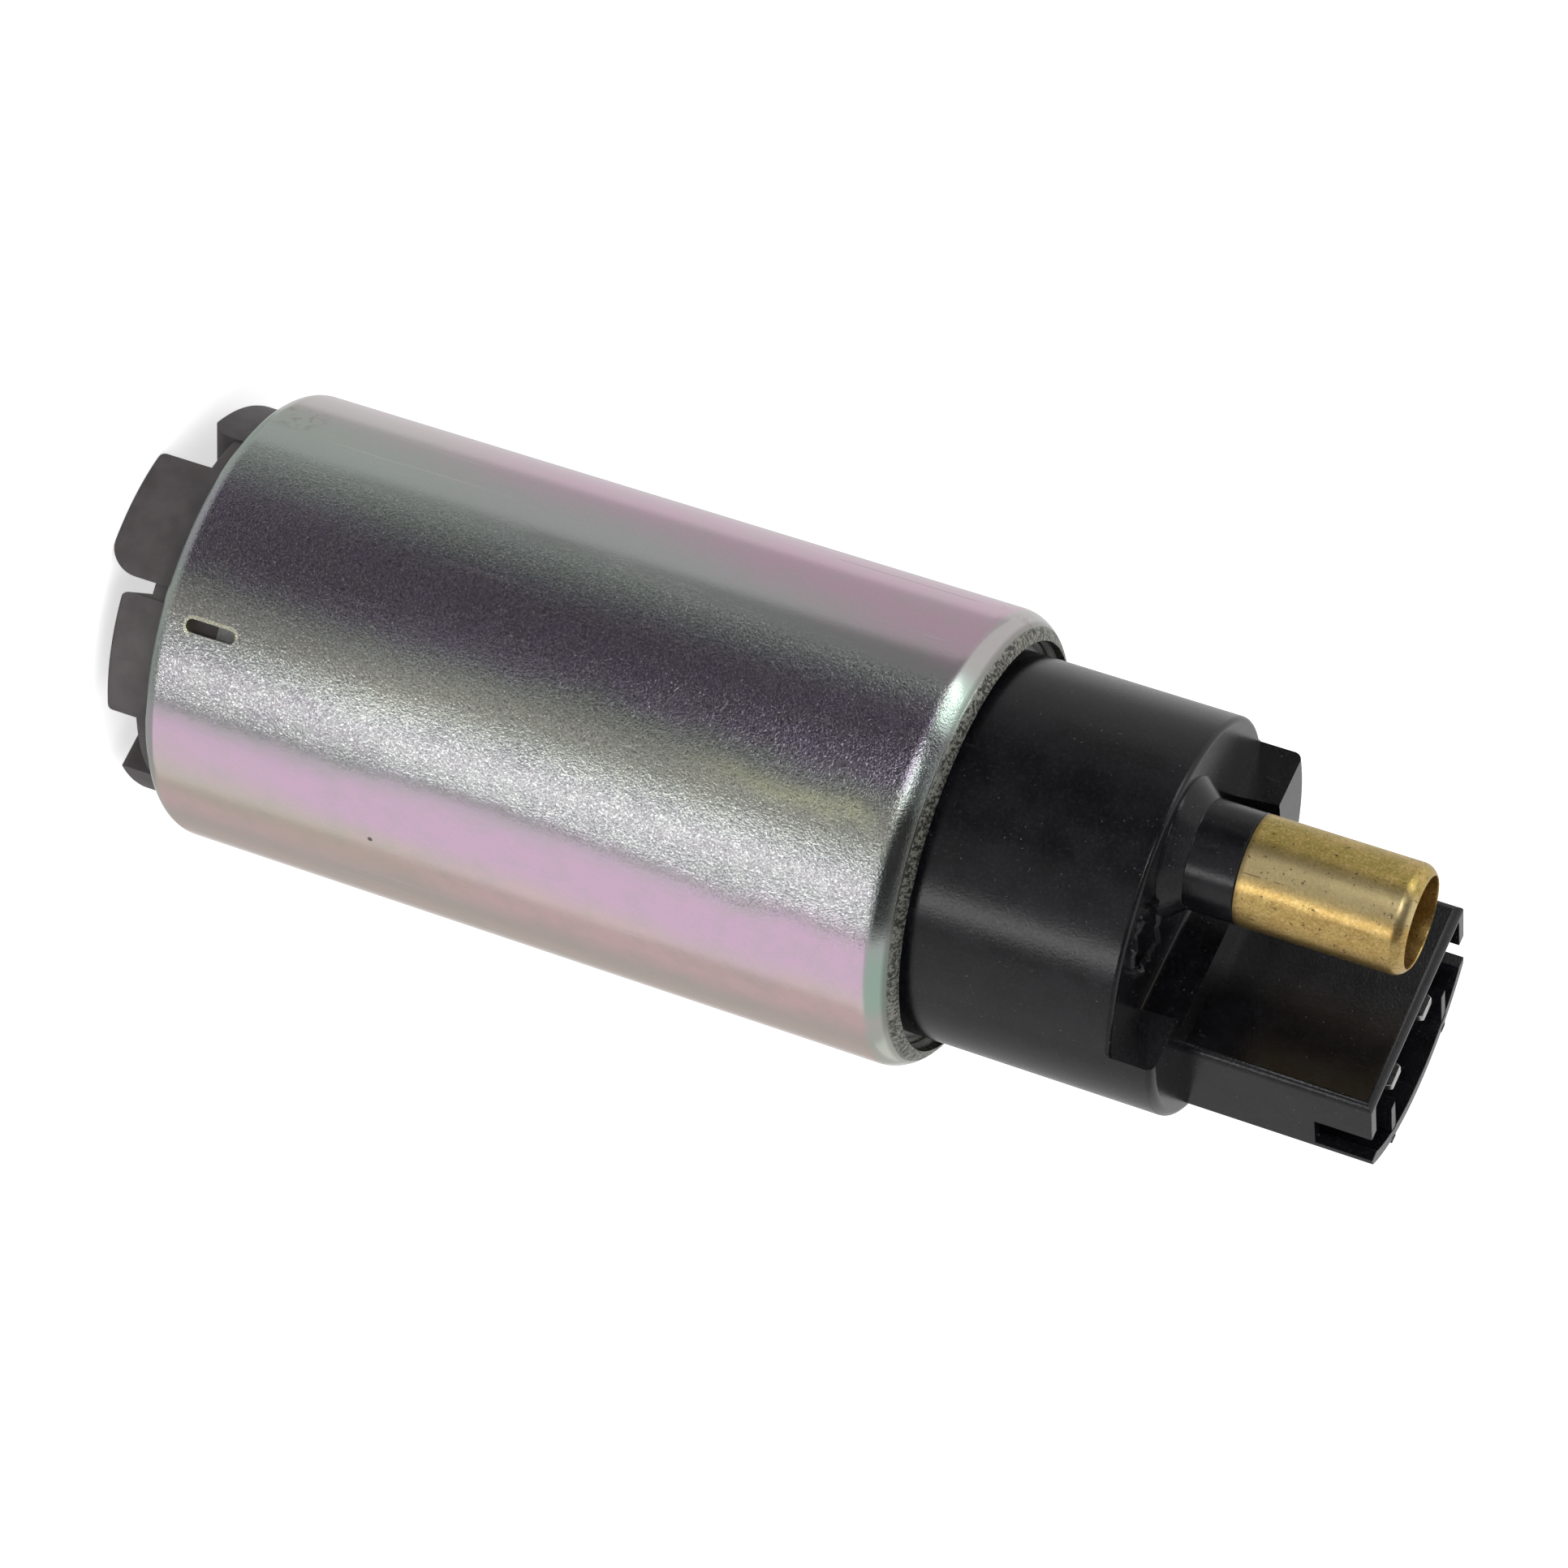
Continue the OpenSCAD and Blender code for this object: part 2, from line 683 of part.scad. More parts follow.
// Winding: the copper in the slots and its two rings of end turns
module winding() {
    low_z = core_z - insulator_t;
    high_z = core_top + insulator_t;
    turn_in = 0.4;
    r_in = slot_root + fill_clear + turn_in;
    r_out = slot_tip - fill_clear;
    bend = 1;
    length = high_z - low_z + 2 * bend;
    color("#9c4a24") union() {
        for (i = [0:slot_count - 1]) rotate([0, 0, i * 360 / slot_count])
            translate([0, 0, low_z - bend]) linear_extrude(length) pocket(fill_clear);
        translate([0, 0, high_z]) end_turns(r_in, r_out, upper_turn_h, bend);
        translate([0, 0, low_z]) mirror([0, 0, 1]) end_turns(r_in, r_out, turn_h, bend);
    }
}

// Commutator hub: moulded disc with a sleeve that reaches the insulator
module commutator_hub() {
    sleeve_t = 2.2;
    sleeve_r = shaft_r + sleeve_t;
    sleeve_z = core_top + insulator_t;
    bar_over = 0.3;
    color("#3b2f2a") difference() {
        union() {
            translate([0, 0, sleeve_z]) cylinder(r = sleeve_r, h = hub_z - sleeve_z + eps);
            translate([0, 0, hub_z]) cylinder(r = commutator_r - bar_over, h = hub_t);
        }
        translate([0, 0, sleeve_z - past]) cylinder(r = shaft_r, h = hub_t + hub_z);
    }
}

// One commutator bar with the hook that holds its wire
module commutator_bar(i) {
    step = 360 / slot_count;
    bar_in = 4.3;
    hook_w = 1.6;
    hook_len = 0.9;
    hook_t = 1;
    hook_root = 0.5;
    color("#b8683a") rotate([0, 0, (i - 1) * step]) translate([0, 0, bar_z]) union() {
        sector(commutator_r, bar_in, bar_t, -(step - bar_gap) / 2, (step - bar_gap) / 2);
        translate([commutator_r - hook_root, -hook_w / 2, 0])
            cube([hook_len + hook_root, hook_w, hook_t]);
    }
}

module magnet(side) {
    mid = 90 - side * 90;
    color("#3a3a3c") translate([0, 0, magnet_z])
        sector(case_in - slip, magnet_r, magnet_len, mid - magnet_arc / 2, mid + magnet_arc / 2);
}

// Spring clip: a bent strip between the ends of the two magnets
module magnet_clip(side) {
    mid = side * 90;
    end_angle = 0.4;
    half = (180 - magnet_arc) / 2 - end_angle;
    leg = atan(clip_t / case_in);
    end = 1;
    r = case_in - slip;
    leg_end = magnet_r + 1;
    h = magnet_len - 2 * end;
    color("#9aa0a6") translate([0, 0, magnet_z + end]) union() {
        sector(r, r - clip_t, h, mid - half, mid + half);
        sector(r, leg_end, h, mid - half, mid - half + leg);
        sector(r, leg_end, h, mid + half - leg, mid + half);
    }
}

// Outline of the head below the ledge, with the shoulder under the roll
module head_turned() {
    shoulder_r = case_in - slip;
    shoulder_round = outlet_roll_r - casing_wall - slip;
    skirt_r = shoulder_r - 3;
    rotate_extrude($fn = 128) polygon(concat(
        [[0, roof_z - past], [0, ledge_z], [head_r - ledge_round, ledge_z]],
        arc(head_r - ledge_round, ledge_z - ledge_round, ledge_round, 90, 0),
        [[head_r, roll_z + shoulder_round], [roll_mid, roll_z + shoulder_round]],
        arc(roll_mid, roll_z, shoulder_round, 90, 0),
        [[shoulder_r, skirt_z], [skirt_r, skirt_z], [skirt_r, roof_z - past]]));
}

// Raised step with its two blocks, its outer edge rounded
module head_step() {
    intersection() {
        translate([0, 0, ledge_z - past]) linear_extrude(step_h + past) polygon([
            [-head_r, -head_r], [head_r, -head_r], [head_r, block_y], [block_x, block_y],
            [block_x, step_y], [-block_x, step_y], [-block_x, block_y], [-head_r, block_y]]);
        rotate_extrude($fn = 128) polygon(concat(
            [[0, ledge_z - past], [0, step_z], [head_r - step_round, step_z]],
            arc(head_r - step_round, step_z - step_round, step_round, 90, 0),
            [[head_r, ledge_z - past]]));
    }
}

// Plan of the socket: flat front, flat sides and an arched back
module socket_plan(wall) {
    half = socket_w / 2 - wall;
    intersection() {
        circle(r = socket_r - wall, $fn = 128);
        translate([-half, -socket_r]) square([2 * half, socket_r + socket_y - wall]);
    }
}

module socket_shell() {
    notch_y = socket_y - notch_in - notch_w;
    difference() {
        translate([0, 0, step_z - past]) linear_extrude(socket_z - step_z + past) socket_plan(0);
        translate([0, 0, socket_floor]) linear_extrude(socket_depth + past) socket_plan(socket_wall);
        translate([-socket_w, notch_y, socket_z - notch_h])
            cube([2 * socket_w, notch_w, notch_h + past]);
    }
}

// Ribs on the arched back, between it and the blades
module socket_ribs() {
    front = blade_y - rib_behind;
    intersection() {
        translate([0, 0, socket_floor - past])
            linear_extrude(socket_depth + past) socket_plan(socket_wall / 2);
        for (s = [-1, 1]) translate([s * rib_x - rib_t / 2, -socket_r, socket_floor - past])
            cube([rib_t, socket_r + front, socket_depth + past]);
    }
}

// Collar and neck of the outlet, stepped for the brass sleeve
module outlet_neck() {
    sleeve_z = outlet_z - sleeve_len;
    neck_r = outlet_d / 2 - sleeve_wall;
    neck_z = outlet_z - neck_below;
    bevel = 0.3;
    at_outlet() rotate_extrude() polygon([
        [0, ledge_z - past], [0, neck_z], [neck_r - bevel, neck_z],
        [neck_r, neck_z - bevel], [neck_r, sleeve_z], [outlet_d / 2, sleeve_z],
        [outlet_d / 2, ledge_z + collar_h], [collar_d / 2, ledge_z], [collar_d / 2, ledge_z - past]]);
}

// Rim of plastic worked over the relief valve
module relief_stake() {
    r_in = stake_r - stake_w;
    at_relief(ledge_z - eps) rotate_extrude($fn = 48) polygon([
        [r_in, 0], [stake_r, 0], [stake_r - stake_w / 4, stake_h], [r_in, stake_h * 0.6]]);
}

// Bosses that reach down into the commutator room
module guide_bosses() {
    w = brush_w + 2 * slide + 2 * boss_wall;
    d = brush_d + 2 * slide + 2 * boss_wall;
    h = roof_z - guide_z + eps;
    translate([0, 0, guide_z]) {
        for (s = [-1, 1]) translate([s * brush_off - w / 2, -d / 2, 0]) cube([w, d, h]);
        cylinder(r = upper_bearing_d / 2 + boss_wall, h = h);
    }
}

module brush_tunnel(side) {
    w = brush_w + 2 * slide;
    d = brush_d + 2 * slide;
    translate([side * brush_off - w / 2, -d / 2, guide_z - past])
        cube([w, d, brush_ceiling - guide_z + past]);
}

// Room for a choke and for the pigtail that runs to it
module choke_room(side) {
    slot_len = -choke_y - brush_d / 2 + past;
    slot_h = pigtail_z + pigtail_rise + brush_travel + past - roof_z;
    at(side * choke_x, choke_y, roof_z - past)
        cylinder(r = choke_bore_r, h = choke_top - roof_z + past);
    translate([side * pigtail_x - pigtail_slot / 2, choke_y, roof_z - past])
        cube([pigtail_slot, slot_len, slot_h]);
}

module check_bores() {
    at_outlet(roof_z - past) cylinder(d = check_bore, h = check_stop_z - roof_z + past);
    at_outlet(check_stop_z - past) cylinder(d = neck_bore, h = outlet_z);
}

module relief_bores() {
    at_relief(roof_z - past) cylinder(d = relief_hole, h = ledge_z);
    at_relief(relief_seat_z) cylinder(d = relief_bore, h = ledge_z);
    at_relief(ledge_z - relief_recess / 2) cylinder(r = stake_r - stake_w, h = past);
}

// Groove for the ring seal
module seal_groove() {
    translate([0, 0, seal_z]) ring(case_in + past, case_in - 2 * seal_r, groove_h);
}

module end_head() {
    color("#232427") difference() {
        union() {
            head_turned();
            guide_bosses();
            head_step();
            socket_shell();
            socket_ribs();
            outlet_neck();
            relief_stake();
        }
        translate([0, 0, upper_bearing_z - past])
            cylinder(d = upper_bearing_d, h = upper_bearing_len + past);
        for (s = [-1, 1]) brush_tunnel(s);
        for (s = [-1, 1]) choke_room(s);
        for (s = [-1, 1]) terminal_shape(s);
        check_bores();
        relief_bores();
        seal_groove();
    }
}

module head_seal() {
    color("#18181a") translate([0, 0, seal_z + groove_h / 2])
        rotate_extrude($fn = 96) translate([case_in - seal_r, 0]) circle(r = seal_r, $fn = 24);
}

// Brass sleeve: tube with its end rounded in
module outlet_sleeve() {
    sleeve_z = outlet_z - sleeve_len;
    r = outlet_d / 2;
    r_in = r - sleeve_wall;
    lip = 0.1;
    lip_t = 0.2;
    mouth = acos((r_in - r + sleeve_round + lip) / sleeve_round);
    color("#b5924f") at_outlet() rotate_extrude() polygon(concat(
        [[r_in, sleeve_z], [r, sleeve_z]],
        arc(r - sleeve_round, outlet_z - sleeve_round, sleeve_round, 0, mouth, 8),
        [[r_in, outlet_z - sleeve_round + sleeve_round * sin(mouth) - lip_t]]));
}

// Blade and foot of one terminal, an L in one sheet
module terminal_shape(side) {
    x0 = blade_x - blade_w / 2;
    x1 = blade_x + blade_w / 2;
    z0 = foot_strap_z;
    translate([0, blade_y + blade_t / 2, 0]) rotate([90, 0, 0]) linear_extrude(blade_t)
        polygon([for (p = [[x0, z0], [foot_strap_end, z0], [foot_strap_end, z0 + foot_strap_h],
            [x1, z0 + foot_strap_h], [x1, blade_top - tip_cut], [x1 - tip_cut / 2, blade_top],
            [x0 + tip_cut / 2, blade_top], [x0, blade_top - tip_cut]]) [side * p[0], p[1]]]);
}

module terminal(side) {
    color("#c3c4c2") terminal_shape(side);
}

module choke_core(side) {
    color("#4a4a4e") at(side * choke_x, choke_y, choke_z)
        cylinder(r = choke_core_r, h = choke_top - choke_z);
}

module choke_coil(side) {
    color("#a4501f") at(side * choke_x, choke_y, choke_z + choke_coil_in)
        coil(choke_top - choke_z - 2 * choke_coil_in, choke_coil_r, choke_wire, 9);
}

module brush(side) {
    color("#2e2c2b") translate([side * brush_off - brush_w / 2, -brush_d / 2, brush_z])
        cube([brush_w, brush_d, brush_len]);
}

module brush_spring(side) {
    color("#b8bcc0") translate([side * brush_off, 0, brush_top])
        coil(brush_spring_len, brush_spring_r, brush_wire, 8);
}

// Copper braid from the side of a brush down to its choke
module pigtail(side) {
    steps = 10;
    y0 = -brush_d / 2 - pigtail_d / 2;
    y1 = choke_y + choke_coil_r + choke_wire / 2 + pigtail_gap;
    pts = [for (i = [0:steps])
        let(t = i / steps,
            y = y0 + (y1 - y0) * t,
            z = pigtail_z + pigtail_rise * (1 + cos(180 * t)) / 2,
            slope = -pigtail_rise * 90 * sin(180 * t) * PI / 180 / (y1 - y0),
            tangent = unit([0, 1, slope]),
            up = cross([1, 0, 0], tangent))
        each ring_at([side * pigtail_x, y, z], [1, 0, 0], up, pigtail_d / 2, 6)];
    color("#b0633a") polyhedron(points = pts, faces = sweep_faces(steps + 1, 6), convexity = 4);
}

module check_seat() {
    color("#c9b37a") at_outlet(check_seat_z) ring(check_bore / 2, check_hole / 2, check_seat_h);
}

module check_poppet() {
    stem_len = check_spring_len + guide_h + stem_above;
    color("#d9d9d2") at_outlet(poppet_z) union() {
        cylinder(r = check_bore / 2 - poppet_play, h = poppet_h);
        cylinder(d = stem_d, h = poppet_h + stem_len);
    }
}

module poppet_seal() {
    color("#1b1b1d") at_outlet(seal_disc_z)
        cylinder(r = check_bore / 2 - poppet_play - seal_disc_in, h = seal_disc_h);
}

module check_spring() {
    color("#b8bcc0") at_outlet(poppet_z + poppet_h)
        coil(check_spring_len, check_spring_r, check_wire, 6);
}

// Guide: ring, three spokes and the eye for the stem
module check_guide() {
    eye_wall = 0.9;
    eye_r = stem_d / 2 + eye_wall;
    rim_t = 0.6;
    color("#e2dfd4") at_outlet(check_guide_z) difference() {
        union() {
            ring(check_bore / 2, check_bore / 2 - rim_t, guide_h);
            cylinder(r = eye_r, h = guide_h);
            for (i = [0:2]) rotate([0, 0, i * 120 - 90]) translate([0, -spoke_w / 2, 0])
                cube([check_bore / 2 - rim_t / 2, spoke_w, guide_h]);
        }
        translate([0, 0, -past]) cylinder(r = stem_d / 2 + slide, h = guide_h + 2 * past);
    }
}

module relief_ball() {
    color("#d5d8da") at_relief(ball_z) sphere(r = ball_r);
}

module relief_spring() {
    color("#b8bcc0") at_relief(relief_spring_z)
        coil(retainer_z - relief_spring_z, relief_spring_r, relief_wire, 5);
}

module relief_retainer() {
    color("#8f8a80") at_relief(retainer_z) ring(relief_bore / 2, retainer_hole / 2, retainer_h);
}

casing();
inlet_cover();
thrust_pad();
pump_body();
lower_bearing();
impeller();
shaft();
armature_core();
winding();
insulator(core_z - insulator_t);  // insulator_lower
insulator(core_top);  // insulator_upper
commutator_hub();
commutator_bar(1);  // commutator_bar_1
commutator_bar(2);  // commutator_bar_2
commutator_bar(3);  // commutator_bar_3
commutator_bar(4);  // commutator_bar_4
commutator_bar(5);  // commutator_bar_5
commutator_bar(6);  // commutator_bar_6
commutator_bar(7);  // commutator_bar_7
commutator_bar(8);  // commutator_bar_8
magnet(1);  // magnet_a
magnet(-1);  // magnet_b
magnet_clip(1);  // magnet_clip_a
magnet_clip(-1);  // magnet_clip_b
end_head();
head_seal();
upper_bearing();
outlet_sleeve();
terminal(1);  // terminal_positive
terminal(-1);  // terminal_negative
choke_core(1);  // choke_core_a
choke_core(-1);  // choke_core_b
choke_coil(1);  // choke_coil_a
choke_coil(-1);  // choke_coil_b
brush(1);  // brush_a
brush(-1);  // brush_b
brush_spring(1);  // brush_spring_a
brush_spring(-1);  // brush_spring_b
pigtail(1);  // pigtail_a
pigtail(-1);  // pigtail_b
check_seat();
check_poppet();
poppet_seal();
check_spring();
check_guide();
relief_ball();
relief_spring();
relief_retainer();
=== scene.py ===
import json
import math

import bpy
from mathutils import Matrix, Vector


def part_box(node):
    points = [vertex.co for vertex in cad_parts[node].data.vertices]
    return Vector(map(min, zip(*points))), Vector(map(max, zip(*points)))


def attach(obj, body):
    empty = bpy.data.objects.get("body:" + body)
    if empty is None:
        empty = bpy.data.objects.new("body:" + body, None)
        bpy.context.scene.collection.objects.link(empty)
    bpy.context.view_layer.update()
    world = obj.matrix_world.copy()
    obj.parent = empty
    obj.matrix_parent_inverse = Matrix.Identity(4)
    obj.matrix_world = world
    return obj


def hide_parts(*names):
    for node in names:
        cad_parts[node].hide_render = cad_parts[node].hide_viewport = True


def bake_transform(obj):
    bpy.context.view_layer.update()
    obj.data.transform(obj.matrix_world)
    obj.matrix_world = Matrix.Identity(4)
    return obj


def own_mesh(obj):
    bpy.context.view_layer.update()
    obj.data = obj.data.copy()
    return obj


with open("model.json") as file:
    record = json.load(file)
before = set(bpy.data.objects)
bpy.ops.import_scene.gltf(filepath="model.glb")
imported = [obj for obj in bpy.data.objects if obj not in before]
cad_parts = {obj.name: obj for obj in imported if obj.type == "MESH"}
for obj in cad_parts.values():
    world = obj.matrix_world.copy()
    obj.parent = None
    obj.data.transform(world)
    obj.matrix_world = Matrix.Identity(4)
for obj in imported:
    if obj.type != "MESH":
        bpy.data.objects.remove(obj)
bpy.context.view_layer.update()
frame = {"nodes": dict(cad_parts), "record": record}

MM = 0.001
context = bpy.context

# Sizes of the part, in millimetres
CASE_R = 19.0
CASE_WALL = 1.4
CASE_IN = CASE_R - CASE_WALL
CASE_BOTTOM = 6.4
ROLL_R = 3.0
ROLL_Z = 69.8
ROLL_MID = CASE_R - ROLL_R
HEAD_R = 15.9
LIP_R = HEAD_R + 1.0
LEDGE_Z = ROLL_Z + ROLL_R + 17.0
STEP_Z = LEDGE_Z + 3.6
SOCKET_Z = LEDGE_Z + 19.2
SKIRT_Z = 59.9
OUTLET_Y = 9.1
OUTLET_R = 4.49
OUTLET_Z = LEDGE_Z + 19.75
SHOULDER_Z = CASE_BOTTOM + CASE_WALL
COVER_TOP = SHOULDER_Z + 3.7
COVER_Z = SHOULDER_Z - 3.3
SLOT_AZ = 128
SLEEVE_Z = OUTLET_Z - 13.95
FLAT_Y = -3.15
HALF_W = 10.1
SOCKET_R = 15.35
BRUSH_X = 6.7
RELIEF = (-8.103, 7.99)


def arc(cx, cy, r, a0, a1, n):
    """Points of an arc in a plane, angles in degrees."""
    turn = [math.radians(a0 + (a1 - a0) * i / n) for i in range(n + 1)]
    return [(cx + r * math.cos(a), cy + r * math.sin(a)) for a in turn]


def clear_selection():
    if context.object and context.object.mode != "OBJECT":
        bpy.ops.object.mode_set(mode="OBJECT")
    bpy.ops.object.select_all(action="DESELECT")


def pick(o):
    """Makes o the only selected object."""
    clear_selection()
    o.select_set(True)
    context.view_layer.objects.active = o
    return o


def draw_line(name, points, close):
    """A new object in edit mode, its vertices drawn through the points (x, y, z) in mm."""
    clear_selection()
    bpy.ops.mesh.primitive_plane_add(size=MM, location=(0, 0, 0))
    o = context.object
    o.name = name
    bpy.ops.object.mode_set(mode="EDIT")
    context.tool_settings.mesh_select_mode = (True, False, False)
    bpy.ops.mesh.select_all(action="SELECT")
    bpy.ops.mesh.merge(type="CENTER")
    spot = Vector((0, 0, 0))
    for i, p in enumerate(points):
        p = Vector(p) * MM
        if i == 0:
            bpy.ops.transform.translate(value=p - spot)
        else:
            bpy.ops.mesh.extrude_region_move(TRANSFORM_OT_translate={"value": p - spot})
        spot = p
    bpy.ops.mesh.select_all(action="SELECT")
    if close:
        bpy.ops.mesh.edge_face_add()
    return o


def tidy_mesh(o, merge=0.0005):
    """Joins double vertices and turns the faces outward, then leaves edit mode."""
    bpy.ops.mesh.select_all(action="SELECT")
    bpy.ops.mesh.remove_doubles(threshold=merge * MM)
    bpy.ops.mesh.normals_make_consistent(inside=False)
    bpy.ops.object.mode_set(mode="OBJECT")
    return o


def turned(name, outline, steps, start=0.0, turn=360.0, centre=(0.0, 0.0)):
    """A turned piece: a closed outline of (radius, height) swept round a vertical axis."""
    a = math.radians(start)
    cx, cy = centre
    points = [(cx + r * math.cos(a), cy + r * math.sin(a), z) for r, z in outline]
    on_axis = outline[0][0] < 0.001 and outline[-1][0] < 0.001
    o = draw_line(name, points, close=not on_axis)
    if turn >= 360 and not on_axis:
        bpy.ops.mesh.delete(type="ONLY_FACE")
        bpy.ops.mesh.select_all(action="SELECT")
    bpy.ops.mesh.spin(
        steps=steps, angle=-math.radians(turn), center=(cx * MM, cy * MM, 0), axis=(0, 0, 1)
    )
    return tidy_mesh(o)


def prism(name, outline, z0, z1):
    """A straight piece: a closed outline of (x, y) raised from z0 to z1."""
    o = draw_line(name, [(x, y, z0) for x, y in outline], close=True)
    bpy.ops.mesh.extrude_region_move(TRANSFORM_OT_translate={"value": (0, 0, (z1 - z0) * MM)})
    return tidy_mesh(o)


def block(name, low, high):
    clear_selection()
    middle = [(a + b) / 2 * MM for a, b in zip(low, high)]
    sizes = [(b - a) * MM for a, b in zip(low, high)]
    bpy.ops.mesh.primitive_cube_add(size=1, location=middle, scale=sizes)
    o = context.object
    o.name = name
    bpy.ops.object.transform_apply(location=True, rotation=True, scale=True)
    return o


def rod(name, r, x, y, z0, z1, sides=48):
    clear_selection()
    middle = (x * MM, y * MM, (z0 + z1) / 2 * MM)
    bpy.ops.mesh.primitive_cylinder_add(
        vertices=sides, radius=r * MM, depth=(z1 - z0) * MM, location=middle
    )
    o = context.object
    o.name = name
    bpy.ops.object.transform_apply(location=True, rotation=True, scale=True)
    return o


def combine(o, tool, operation):
    """Cuts the tool out of o, or joins it to o, and removes the tool."""
    pick(o)
    m = o.modifiers.new("work", "BOOLEAN")
    m.operation = operation
    m.solver = "EXACT"
    m.object = tool
    bpy.ops.object.modifier_apply(modifier=m.name)
    bpy.data.objects.remove(tool, do_unlink=True)
    return o


def cut(o, *tools):
    for t in tools:
        combine(o, t, "DIFFERENCE")
    return o


def add(o, *tools):
    for t in tools:
        combine(o, t, "UNION")
    return o


def round_edges(o, test, width, segments=3):
    """Rounds the edges whose two ends (in mm) pass the test."""
    pick(o)
    for e in o.data.edges:
        a, b = [o.data.vertices[i].co / MM for i in e.vertices]
        e.select = bool(test(a, b))
    for p in o.data.polygons:
        p.select = False
    chosen = [e for e in o.data.edges if e.select]
    for v in o.data.vertices:
        v.select = False
    for e in chosen:
        for i in e.vertices:
            o.data.vertices[i].select = True
    bpy.ops.object.mode_set(mode="EDIT")
    context.tool_settings.mesh_select_mode = (False, True, False)
    bpy.ops.object.mode_set(mode="OBJECT")
    for e in o.data.edges:
        a, b = [o.data.vertices[i].co / MM for i in e.vertices]
        e.select = bool(test(a, b))
    bpy.ops.object.mode_set(mode="EDIT")
    bpy.ops.mesh.bevel(offset=width * MM, segments=segments, profile=0.5, clamp_overlap=True)
    return tidy_mesh(o)


def soften(o, width, segments=2, angle=35):
    """Small rounding on every sharp edge."""
    pick(o)
    m = o.modifiers.new("soft", "BEVEL")
    m.width = width * MM
    m.segments = segments
    m.limit_method = "ANGLE"
    m.angle_limit = math.radians(angle)
    m.use_clamp_overlap = True
    bpy.ops.object.modifier_apply(modifier=m.name)
    return o


def smooth(o, angle=32):
    """Smooth shading up to an angle, with flat faces kept flat."""
    pick(o)
    bpy.ops.object.shade_smooth_by_angle(angle=math.radians(angle))
    m = o.modifiers.new("flats", "WEIGHTED_NORMAL")
    m.keep_sharp = True
    bpy.ops.object.modifier_apply(modifier=m.name)
    return o


def plain_faces(o):
    """Joins faces that lie in one plane, so that later rounding has clean corners."""
    pick(o)
    bpy.ops.object.mode_set(mode="EDIT")
    bpy.ops.mesh.select_all(action="SELECT")
    bpy.ops.mesh.dissolve_limited(angle_limit=math.radians(0.4))
    bpy.ops.object.mode_set(mode="OBJECT")
    return o


def radius_of(p, cx=0.0, cy=0.0):
    return math.hypot(p.x - cx, p.y - cy)


def near(a, b, slack=0.02):
    return abs(a - b) < slack


def level(z, test=None):
    """A test for the edges that lie at height z, whose two ends a and b also pass the given test."""
    return lambda a, b: near(a.z, z) and near(b.z, z) and (test is None or test(a, b))


def upright(test=None):
    """A test for the upright edges, whose end a also passes the given test."""
    return lambda a, b: abs(a.z - b.z) > 1 and (test is None or test(a))


def copy_of(node, name):
    """A copy of a part's own mesh, with its doubles joined."""
    o = frame["nodes"][node].copy()
    o.data = o.data.copy()
    o.name = name
    o.parent = None
    o.matrix_world = Matrix.Identity(4)
    context.scene.collection.objects.link(o)
    pick(o)
    bpy.ops.object.mode_set(mode="EDIT")
    return tidy_mesh(o, merge=0.002)


def finish_piece(o, material, body, slot, *nodes):
    o.data.materials.clear()
    o.data.materials.append(material)
    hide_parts(*nodes)
    if body:
        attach(o, body)
    return o


# Shader maths written as plain expressions
class Sock:
    """One output socket that can be used in expressions."""

    def __init__(self, tree, out):
        self.tree = tree
        self.out = out

    def node(self, kind, inputs, output=0, **settings):
        n = self.tree.nodes.new(kind)
        for key, value in settings.items():
            setattr(n, key, value)
        for key, value in inputs.items():
            if isinstance(value, Sock):
                self.tree.links.new(value.out, n.inputs[key])
            else:
                n.inputs[key].default_value = value
        return Sock(self.tree, n.outputs[output])

    def maths(self, operation, *values, clamp=False):
        inputs = {i: v for i, v in enumerate((self,) + values)}
        return self.node("ShaderNodeMath", inputs, operation=operation, use_clamp=clamp)

    def __add__(self, other):
        return self.maths("ADD", other)

    __radd__ = __add__

    def __mul__(self, other):
        return self.maths("MULTIPLY", other)

    __rmul__ = __mul__

    def __sub__(self, other):
        return self.maths("SUBTRACT", other)

    def __rsub__(self, other):
        return (self * -1.0) + other

    def __pow__(self, other):
        return self.maths("POWER", other)

    def above(self, low, high):
        """0 below low, 1 above high, smooth between."""
        inputs = {"Value": self, "From Min": low, "From Max": high}
        return self.node("ShaderNodeMapRange", inputs, interpolation_type="SMOOTHSTEP")

    def between(self, low, high, edge):
        return self.above(low - edge, low + edge) * (1 - self.above(high - edge, high + edge))

    def mix(self, a, b):
        """a where this is 0, b where it is 1; a and b are colours."""
        n = self.tree.nodes.new("ShaderNodeMix")
        n.data_type = "RGBA"
        self.tree.links.new(self.out, n.inputs[0])
        for i, value in ((6, a), (7, b)):
            if isinstance(value, Sock):
                self.tree.links.new(value.out, n.inputs[i])
            else:
                n.inputs[i].default_value = (*value, 1)
        return Sock(self.tree, n.outputs[2])

    def noise(self, scale, detail=2.0, roughness=0.5, stretch=(1, 1, 1)):
        at = self.node("ShaderNodeVectorMath", {0: self, 1: stretch}, operation="MULTIPLY")
        inputs = {"Vector": at, "Scale": scale, "Detail": detail, "Roughness": roughness}
        return self.node("ShaderNodeTexNoise", inputs)

    def split(self):
        n = self.tree.nodes.new("ShaderNodeSeparateXYZ")
        self.tree.links.new(self.out, n.inputs[0])
        return [Sock(self.tree, n.outputs[i]) for i in range(3)]


